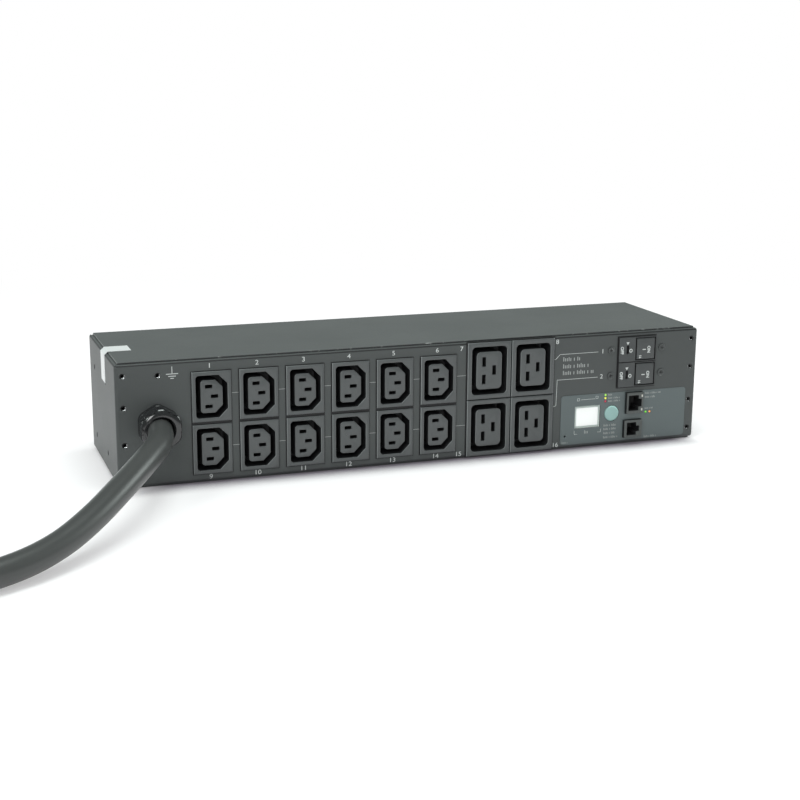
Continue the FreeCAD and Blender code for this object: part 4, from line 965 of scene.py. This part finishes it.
# Width of an ear of a breaker's body, and of the painted shade round the breakers' noses, in metres
EAR_REACH = 0.0093
BREAKER_SHADE = 0.0007


class POWERUNIT_OT_breakers(Operator):
    """Finishes the breakers and their rockers, paints shade on the cases' sides and deeper faces and on the rockers'
    deeper faces, and lays a dark plate of painted shade round the noses
    """
    bl_idname = "power_unit.breakers"
    bl_label = "Breakers"

    def execute(self, context):
        width = context.scene.power_unit_finish.edge_round
        noses = []
        for number, body in enumerate(ROCKERS, 1):
            node = "breaker_%d_body" % number
            case = softened(node, "breaker_%d_case" % number, "breaker_plastic", width)
            paddle = softened("breaker_%d_rocker" % number, "breaker_%d_paddle" % number, "rocker_plastic", width, body)
            # Painted shade: the case's deeper faces, its top and bottom and its left side in near-black
            second_finish(case, "throat", lambda middle, normal: middle.y > GUARD_FACE + 2 * width
                          or abs(normal.z) > 0.3 or normal.x < -0.3)
            # Painted shade on the rocker's deeper faces
            second_finish(paddle, "throat", lambda middle, normal: middle.y > ROCKER_FACE + 2 * width)
            low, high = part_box(node)
            noses.append(((low[0] + EAR_REACH, low[1], low[2]), (high[0] - EAR_REACH, high[1], high[2])))
        # Dark plate as painted shade round the breakers' noses
        dress(seat_plate(noses, BREAKER_SHADE), "breaker_seat", "seal_rubber", coat="throat")
        return {"FINISHED"}


# Roundings of the button, the lights and the display, and the display's chamfer, in metres
CAP_EDGE = 0.0005
LIGHT_EDGE = 0.0003
DISPLAY_EDGE = 0.00015
DISPLAY_CHAMFER = 0.0014


class POWERUNIT_OT_controls(Operator):
    """Finishes the overlay, the display, the button and the lights, with a painted glow and painted shade on the
    display and a painted highlight on the button
    """
    bl_idname = "power_unit.controls"
    bl_label = "Control area"

    def execute(self, context):
        paint_node("control_overlay", "overlay_film")
        chamfered_display()
        cap = softened("view_button", "view_button_cap", "button_film", CAP_EDGE, "view_cap")
        # Painted highlight on the edge that faces up and right
        second_finish(cap, "button_edge", lambda middle, normal: -0.97 < normal.y < -0.2 and normal.x + normal.z > 0.25)
        for lens, name in zip(loose_pieces("indicator_leds"), LED_COLOURS):
            round_edges(lens, LIGHT_EDGE, segments=3)
            dress(lens, name, "led_lens", ("indicator_leds",), coat=name)
        return {"FINISHED"}


def chamfered_display():
    """The display's lens, with a broad chamfer round its face, painted darker as shade."""
    piece = copied_solid("display_module")
    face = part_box("display_module")[0][1]
    select_faces(piece, lambda middle, normal: normal.y < -0.9 and middle.y < face + 1e-5)
    bpy.ops.mesh.region_to_loop()
    bpy.ops.mesh.bevel(offset=DISPLAY_CHAMFER, segments=1, affect="EDGES")
    round_edges(piece, DISPLAY_EDGE)
    dress(piece, "display_lens", "display_white", ("display_module",))
    # Painted shade on the chamfer and the sides
    second_finish(piece, "display_rim", lambda middle, normal: normal.y > -0.95)


JACK_EDGE = 0.0003
# Depth behind a jack's face from which its mouth is painted near-black as shade
JACK_SHADE_START = 0.0005


class POWERUNIT_OT_jacks(Operator):
    """Finishes the two jacks and their contacts, paints their mouths near-black as shade, and sets pale windows painted
    as highlights in the network jack's corners
    """
    bl_idname = "power_unit.jacks"
    bl_label = "Jacks"

    def execute(self, context):
        for node in ("network_jack", "serial_jack"):
            shell = softened(node, node + "_shell", "jack_plastic", JACK_EDGE)
            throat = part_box(node)[0][1] + JACK_SHADE_START
            # Painted shade inside the jack's mouth
            second_finish(shell, "throat", lambda middle, normal: middle.y > throat)
        paint_node("jack_contacts", "gold_contact")
        jack_lights()
        return {"FINISHED"}


# Windows in the network jack's face, whose pale colour is a painted highlight: distance in from its right edge and from
# its top or bottom, size and rounding
JACK_HIGHLIGHT_WINDOW = (0.0012, 0.0029, (0.0012, 0.0004, 0.0019), 0.00018)


def jack_lights():
    """Two small windows in the corners of the network jack, pale as a painted highlight."""
    inset, drop, size, edge = JACK_HIGHLIGHT_WINDOW
    low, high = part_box("network_jack")
    windows = []
    for z in (low[2] + drop, high[2] - drop):
        clear_selection()
        bpy.ops.mesh.primitive_cube_add(size=1, location=(high[0] - inset, low[1], z), scale=size)
        windows.append(settled())
        round_edges(windows[-1], edge)
    dress(join(windows), "jack_lights", "led_lens", coat="jack_window")


# Rolled corners and crown of the gland's hexagons, the roundings of its edges, the cap nut's wall and hollow radius,
# and its gap to the cord, in metres
GLAND_CORNER = 0.0036
GLAND_CROWN = 0.0054
FLANGE_EDGE = 0.0007
NUT_EDGE = 0.0006
GLAND_WALL = 0.0026
GLAND_HOLLOW = 0.0112
GLAND_GAP = 0.0005
# Least length of a corner's edge, and how far a cutting tool stands out of what it cuts
SHORT_EDGE = 0.001
TOOL_REACH = 0.01


class POWERUNIT_OT_gland(Operator):
    """Finishes the cable gland"""
    bl_idname = "power_unit.gland"
    bl_label = "Cable gland"

    def execute(self, context):
        rounded_flange()
        domed_nut(context.scene.power_unit_cord.diameter)
        paint_node("gland_seal", "seal_rubber")
        paint_node("gland_locknut", "gland_plastic")
        return {"FINISHED"}


def roll_corners(piece, middle, corner):
    """Rounds the edges of a hexagon that run along the depth at a corner's distance from its middle."""
    select_edges(piece, lambda a, b: abs(a.y - b.y) > max(SHORT_EDGE, 0.99 * (a - b).length)
                 and math.hypot(a.x - middle.x, a.z - middle.z) > corner)
    bpy.ops.mesh.bevel(offset=GLAND_CORNER, segments=6, affect="EDGES")
    set_mode("OBJECT")


def rounded_flange():
    """The gland's hexagon against the panel, with rolled corners."""
    piece = copied_solid("gland_body")
    low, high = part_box("gland_body")
    roll_corners(piece, middle_of("gland_body"), 0.98 * (high[2] - low[2]) / 2)
    round_edges(piece, FLANGE_EDGE, segments=3)
    dress(piece, "gland_hexagon", "gland_plastic", ("gland_body",))


def domed_nut(cord):
    """The cap nut: a hexagon with rolled corners whose front curves in to the cord."""
    low, high = (Vector(corner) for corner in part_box("gland_cap_nut"))
    middle = (low + high) / 2
    radius = (high.z - low.z) / 2
    clear_selection()
    bpy.ops.mesh.primitive_cylinder_add(vertices=6, radius=radius, depth=high.y - low.y, location=middle,
                                        rotation=ALONG_DEPTH)
    nut = settled()
    roll_corners(nut, middle, 0.98 * radius)
    crown = turned_rod(middle, radius, low.y, high.y)
    select_faces(crown, lambda centre, normal: normal.y < -0.9)
    bpy.ops.mesh.region_to_loop()
    bpy.ops.mesh.bevel(offset=GLAND_CROWN, segments=9, affect="EDGES")
    set_mode("OBJECT")
    shape_by(nut, crown, "INTERSECT")
    back = high.y + TOOL_REACH
    shape_by(nut, turned_rod(middle, cord / 2 + GLAND_GAP, low.y - TOOL_REACH, back), "DIFFERENCE")
    shape_by(nut, turned_rod(middle, GLAND_HOLLOW, low.y + GLAND_WALL, back), "DIFFERENCE")
    round_edges(nut, NUT_EDGE, segments=3, angle=40)
    dress(nut, "gland_dome_nut", "gland_plastic", ("gland_cap_nut",))


def turned_rod(middle, radius, start, end):
    """A round rod along the depth, from one depth to another."""
    clear_selection()
    bpy.ops.mesh.primitive_cylinder_add(vertices=72, radius=radius, depth=end - start, rotation=ALONG_DEPTH,
                                        location=(middle.x, (start + end) / 2, middle.z))
    return settled()


def shape_by(piece, tool, operation):
    """Cuts a piece with a tool, or keeps what lies in both, and takes the tool away."""
    apply_modifier(piece, "BOOLEAN", object=tool, operation=operation, solver="EXACT")
    bpy.data.objects.remove(tool)


# Screws that show: CAD node, name, slot, and the end with the heads, 0 at the front and 1 at the back
SCREW_LOOKS = (
    ("breaker_screws", "breaker_screw_set", "housing_paint", 0),
    ("cover_screws", "cover_screw_set", "black_steel", 1),
)
RECESS_SIZE = (0.0030, 0.0012, 0.0007)
SCREW_RIM = 0.0003


class POWERUNIT_OT_screws(Operator):
    """Cuts cross recesses into the screws that show, and paints their sides and recesses near-black as shade"""
    bl_idname = "power_unit.screws"
    bl_label = "Screws"

    def execute(self, context):
        for node, name, slot, end in SCREW_LOOKS:
            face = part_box(node)[end][1]
            heads = loose_pieces(node)
            for screw in heads:
                cut_recess(screw, end)
            piece = join(heads)
            round_edges(piece, SCREW_RIM)
            dress(piece, name, slot, (node,))
            second_finish(piece, "worn_edge", lambda middle, normal: 0.2 < abs(normal.y) < 0.95)
            # Painted shade on the heads' sides and in the recesses
            second_finish(piece, "throat", lambda middle, normal: abs(normal.y) <= 0.2
                          or abs(middle.y - face) > 1.5 * SCREW_RIM)
        return {"FINISHED"}


def cut_recess(screw, end):
    """A cross in the head at the front or the back."""
    low, high = (Vector(screw.bound_box[i]) for i in (0, 6))
    middle = (low + high) / 2
    middle.y = (low, high)[end].y
    long, deep, narrow = RECESS_SIZE
    for size in ((long, deep, narrow), (narrow, deep, long)):
        clear_selection()
        bpy.ops.mesh.primitive_cube_add(size=1, location=middle, scale=size)
        shape_by(screw, settled(), "DIFFERENCE")


INNER_FINISHES = {
    "brass_strip": ("line_busbars", "neutral_busbars", "earth_busbars"),
    "tinned_metal": ("breaker_terminals",),
    "breaker_plastic": ("board_switches", "reset_button"),
    "board_green": ("control_board",),
    "zinc_steel": ("board_standoffs", "board_screws"),
    "terminal_plastic": ("terminal_block",),
    "wire_sleeve": ("hookup_wires",),
    "core_steel": ("supply_transformer",),
    "sensor_plastic": ("current_sensors",),
}


class POWERUNIT_OT_inner(Operator):
    """Gives the pieces inside the housing their finishes"""
    bl_idname = "power_unit.inner"
    bl_label = "Inner pieces"

    def execute(self, context):
        for slot, nodes in INNER_FINISHES.items():
            for node in nodes:
                paint_node(node, slot)
        return {"FINISHED"}


# Places of marks are in millimetres across and up. Step down from the first breaker to the second
BREAKER_STEP = 19.4
# Letters on a guard and on a rocker: text, place, and size as a share of the switch mark size
GUARD_LETTERS = (("OFF", 156.9, 73.4, 0.76), ("O", 164.2, 72.9, 0.82))
ROCKER_LETTERS = (("ON", 179.4, 73.1, 0.76), ("16", 172.3, 67.9, 0.6))
# Arrow head on a guard: place and radius. Dash on a rocker: both ends, and its width in metres
GUARD_ARROW = (161.6, 78.8, 1.45)
ROCKER_DASH = (174.2, 73.2, 176.9, 73.2, 0.0007)


class POWERUNIT_OT_prints(Operator):
    """Prints the numbers, lines and marks on the front"""
    bl_idname = "power_unit.prints"
    bl_label = "Printed marks"

    def execute(self, context):
        settings = context.scene.power_unit_prints
        print_marks("panel_marks", PANEL_FACE, panel_lines(settings), panel_numbers(settings))
        print_marks("panel_fine_print", PANEL_FACE, fine_rows(PANEL_ROWS) + link_lines(settings), ink="faint_ink")
        print_marks("film_marks", FILM_FACE, film_lines(settings))
        print_marks("film_fine_print", FILM_FACE, fine_rows(FILM_ROWS), ink="faint_ink")
        for number, body in enumerate(ROCKERS):
            drop = number * BREAKER_STEP
            guard, rocker = ([(text, x, z - drop, share * settings.switch_size, True) for text, x, z, share in letters]
                             for letters in (GUARD_LETTERS, ROCKER_LETTERS))
            x, z, radius = GUARD_ARROW
            print_marks("guard_%d_marks" % (number + 1), GUARD_FACE, letters=guard, arrows=[(x, z - drop, radius)])
            x0, z0, x1, z1, width = ROCKER_DASH
            print_marks("rocker_%d_marks" % (number + 1), ROCKER_FACE, [(x0, z0 - drop, x1, z1 - drop, width)], rocker,
                        body=body)
        return {"FINISHED"}


def print_marks(name, face, lines=(), letters=(), arrows=(), body=HOUSING, ink="ink"):
    """One flat layer of ink: bars between points, arrow heads, and type that stands upright or reads downwards."""
    height = bpy.context.scene.power_unit_prints.ink_height
    clear_selection()
    pieces = [ink_bars(lines, face, height)] if lines else []
    pieces += [ink_arrow(*arrow, face, height) for arrow in arrows]
    pieces += [ink_type(*letter, face, height) for letter in letters]
    dress(join(pieces), name, "overlay_film", body=body, coat=ink)


def ink_arrow(x, z, radius, face, height):
    """An arrow head that points down."""
    clear_selection()
    bpy.ops.mesh.primitive_cylinder_add(vertices=3, radius=radius * MM, depth=2 * height,
                                        location=(x * MM, face, z * MM), rotation=(math.radians(-90), 0, 0))
    return settled()


def ink_bars(lines, face, height):
    piece = None
    for x0, z0, x1, z1, width in lines:
        turn = -math.atan2(z1 - z0, x1 - x0)
        size = (math.hypot(x1 - x0, z1 - z0) * MM, 2 * height, width)
        middle = ((x0 + x1) / 2 * MM, face, (z0 + z1) / 2 * MM)
        bpy.ops.mesh.primitive_cube_add(size=1, location=middle, rotation=(0, turn, 0), scale=size)
        if piece is None:
            piece = bpy.context.object
            settle(piece)
            set_mode("EDIT")
    set_mode("OBJECT")
    return piece


# Boldness of type that reads downwards and of upright type, and how much upright type is widened
BOLD_DOWN, BOLD_UP, WIDENED = 0.04, 0.002, 1.14


def ink_type(words, x, z, size, downwards, face, height):
    clear_selection()
    bpy.ops.object.text_add()
    mark = bpy.context.object
    mark.data.body = words
    mark.data.size = size
    mark.data.align_x = "CENTER"
    mark.data.align_y = "CENTER"
    mark.data.extrude = height
    mark.data.offset = size * (BOLD_DOWN if downwards else BOLD_UP)
    mark.data.resolution_u = 4
    bpy.ops.object.convert(target="MESH")
    mark = bpy.context.object
    turn = Matrix.Rotation(math.radians(-90), 4, "Z") if downwards else Matrix.Diagonal((WIDENED, 1, 1, 1))
    mark.matrix_world = Matrix.Translation((x * MM, face, z * MM)) @ Matrix.Rotation(math.radians(90), 4, "X") @ turn
    settle(mark)
    return mark


def strokes(points, width):
    """Bars along a bent line of points in millimetres."""
    return [(*a, *b, width) for a, b in zip(points, points[1:])]


# Small print: heights of the strokes in turn, strokes left out of every eight, and pitch and width by height
STROKE_HEIGHTS = (1.0, 0.72, 0.72, 0.9, 0.72)
STROKE_GAPS = (5, 7)
STROKE_PITCH = 0.45
STROKE_WIDTH = 0.2


def fine_rows(rows):
    """Rows of small upright strokes in groups, which stand for lines of small print."""
    marks = []
    for start, end, z, height in rows:
        x = start
        count = 0
        foot = z - height / 2
        while x < end:
            if count % 8 not in STROKE_GAPS:
                tall = height * STROKE_HEIGHTS[count % 5]
                marks.append((x, foot, x, foot + tall, STROKE_WIDTH * height * MM))
            x += STROKE_PITCH * height
            count += 1
    return marks


# How far the lines and the numbers stand off the middles of the outlets
LINK_RISE = 1.4
UPPER_SHIFT, LOWER_SHIFT = -0.9, -1.5
UPPER_NUMBERS, LOWER_NUMBERS = 82.6, 3.9
# Lines from the breakers' numbers to the outlets, and the earth sign: stem, and heights and half widths of its bars
LEADERS = (
    ((101.4, 69.5), (103.0, 69.8), (106.4, 73.3), (137.8, 73.3)),
    ((101.5, 33.6), (104.2, 34.6), (104.6, 54.0), (138.0, 54.0)),
)
EARTH_STEM = (-183.1, 83.7, -183.1, 78.6)
EARTH_BARS = ((78.6, 4.1), (77.0, 2.6), (75.5, 1.2))
# Weights of the sign's stem, its bars and the marks on the overlay, by the width of a line
STEM_WEIGHT, BAR_WEIGHT, FILM_WEIGHT = 1.5, 1.7, 0.8
# Numbers of the large outlets and the breakers
LARGE_NUMBERS = (
    ("7", 27.7, 82.5), ("8", 103.9, 82.9), ("15", 26.3, 3.8), ("16", 104.4, 3.9),
    ("1", 141.6, 73.4), ("2", 141.2, 54.2),
)
# Rows of small print on the panel and on the overlay: start, end, height of the middle and height of the print
PANEL_ROWS = ((109.5, 122.5, 69.5, 3.2), (109.5, 132.0, 64.1, 3.2), (109.5, 134.8, 59.1, 3.2))
FILM_ROWS = (
    (147.6, 151.0, 39.8, 1.5), (147.6, 157.5, 37.3, 1.5), (147.6, 157.5, 34.9, 1.5), (110.0, 115.5, 5.2, 1.6),
    (144.7, 156.0, 16.1, 1.8), (144.7, 155.0, 13.2, 1.8), (144.7, 154.0, 10.0, 1.8), (144.7, 157.0, 6.8, 1.8),
    (128.6, 131.0, 12.3, 2.6), (178.8, 191.9, 38.9, 1.6), (179.0, 187.4, 35.8, 1.6), (179.2, 186.0, 27.0, 1.4),
    (179.4, 190.7, 4.8, 1.6),
)
# Marks on the overlay: middles of two small squares, the line between them, and two brackets under the display
SQUARES = ((122.6, 37.7), (138.0, 38.5))
SQUARE_HALF = 0.9
SQUARE_LINK = ((124.6, 37.5), (136.4, 37.5))
BRACKETS = (((119.9, 13.9), (119.9, 11.1), (122.5, 11.1)), ((142.0, 13.8), (142.0, 11.4), (139.3, 11.4)))


def link_lines(settings):
    """Short lines that link neighbouring outlets."""
    lines = []
    for row in (UPPER_ROW, LOWER_ROW):
        height = middle_of(row[0]).z / MM + LINK_RISE
        for before, after in zip(row[:6], row[1:7]):
            lines.append((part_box(before)[1][0] / MM, height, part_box(after)[0][0] / MM, height, settings.line_width))
    return lines


def panel_lines(settings):
    width = settings.line_width
    lines = [line for points in LEADERS for line in strokes(points, width)]
    lines.append((*EARTH_STEM, width * STEM_WEIGHT))
    x = EARTH_STEM[0]
    return lines + [(x - reach, z, x + reach, z, width * BAR_WEIGHT) for z, reach in EARTH_BARS]


def panel_numbers(settings):
    numbers = [(str(int(node[-2:])), middle_of(node).x / MM + shift, z) for row, shift, z in (
        (UPPER_ROW, UPPER_SHIFT, UPPER_NUMBERS), (LOWER_ROW, LOWER_SHIFT, LOWER_NUMBERS)) for node in row[:6]]
    return [(*number, settings.number_size, False) for number in (*numbers, *LARGE_NUMBERS)]


def film_lines(settings):
    h = SQUARE_HALF
    routes = [[(x + i * h, z + j * h) for i, j in ((-1, -1), (1, -1), (1, 1), (-1, 1), (-1, -1))] for x, z in SQUARES]
    width = settings.line_width * FILM_WEIGHT
    return [line for points in (*routes, SQUARE_LINK, *BRACKETS) for line in strokes(points, width)]


class POWERUNIT_PT_panel(Panel):
    """Lists the pieces of the unit in the order they are made"""
    bl_idname = "POWERUNIT_PT_panel"
    bl_label = "Power Unit"
    bl_space_type = "VIEW_3D"
    bl_region_type = "UI"
    bl_category = "Power Unit"

    def draw(self, context):
        for operator in OPERATORS:
            self.layout.operator(operator.bl_idname)


OPERATORS = (
    POWERUNIT_OT_stage, POWERUNIT_OT_plug, POWERUNIT_OT_straps, POWERUNIT_OT_cord, POWERUNIT_OT_housing,
    POWERUNIT_OT_outlets, POWERUNIT_OT_breakers, POWERUNIT_OT_controls, POWERUNIT_OT_jacks, POWERUNIT_OT_gland,
    POWERUNIT_OT_screws, POWERUNIT_OT_inner, POWERUNIT_OT_prints,
)
SETTINGS = {
    "power_unit_stage": StageSettings,
    "power_unit_cord": CordSettings,
    "power_unit_finish": FinishSettings,
    "power_unit_prints": PrintSettings,
}


def register():
    for name, group in SETTINGS.items():
        bpy.utils.register_class(group)
        setattr(bpy.types.Scene, name, PointerProperty(type=group))
    for operator in OPERATORS:
        bpy.utils.register_class(operator)
    bpy.utils.register_class(POWERUNIT_PT_panel)


def unregister():
    bpy.utils.unregister_class(POWERUNIT_PT_panel)
    for operator in reversed(OPERATORS):
        bpy.utils.unregister_class(operator)
    for name, group in SETTINGS.items():
        delattr(bpy.types.Scene, name)
        bpy.utils.unregister_class(group)


def main():
    register()
    for operator in OPERATORS:
        group, name = operator.bl_idname.split(".")
        getattr(getattr(bpy.ops, group), name)()
    clear_selection()


if __name__ == "__main__":
    main()
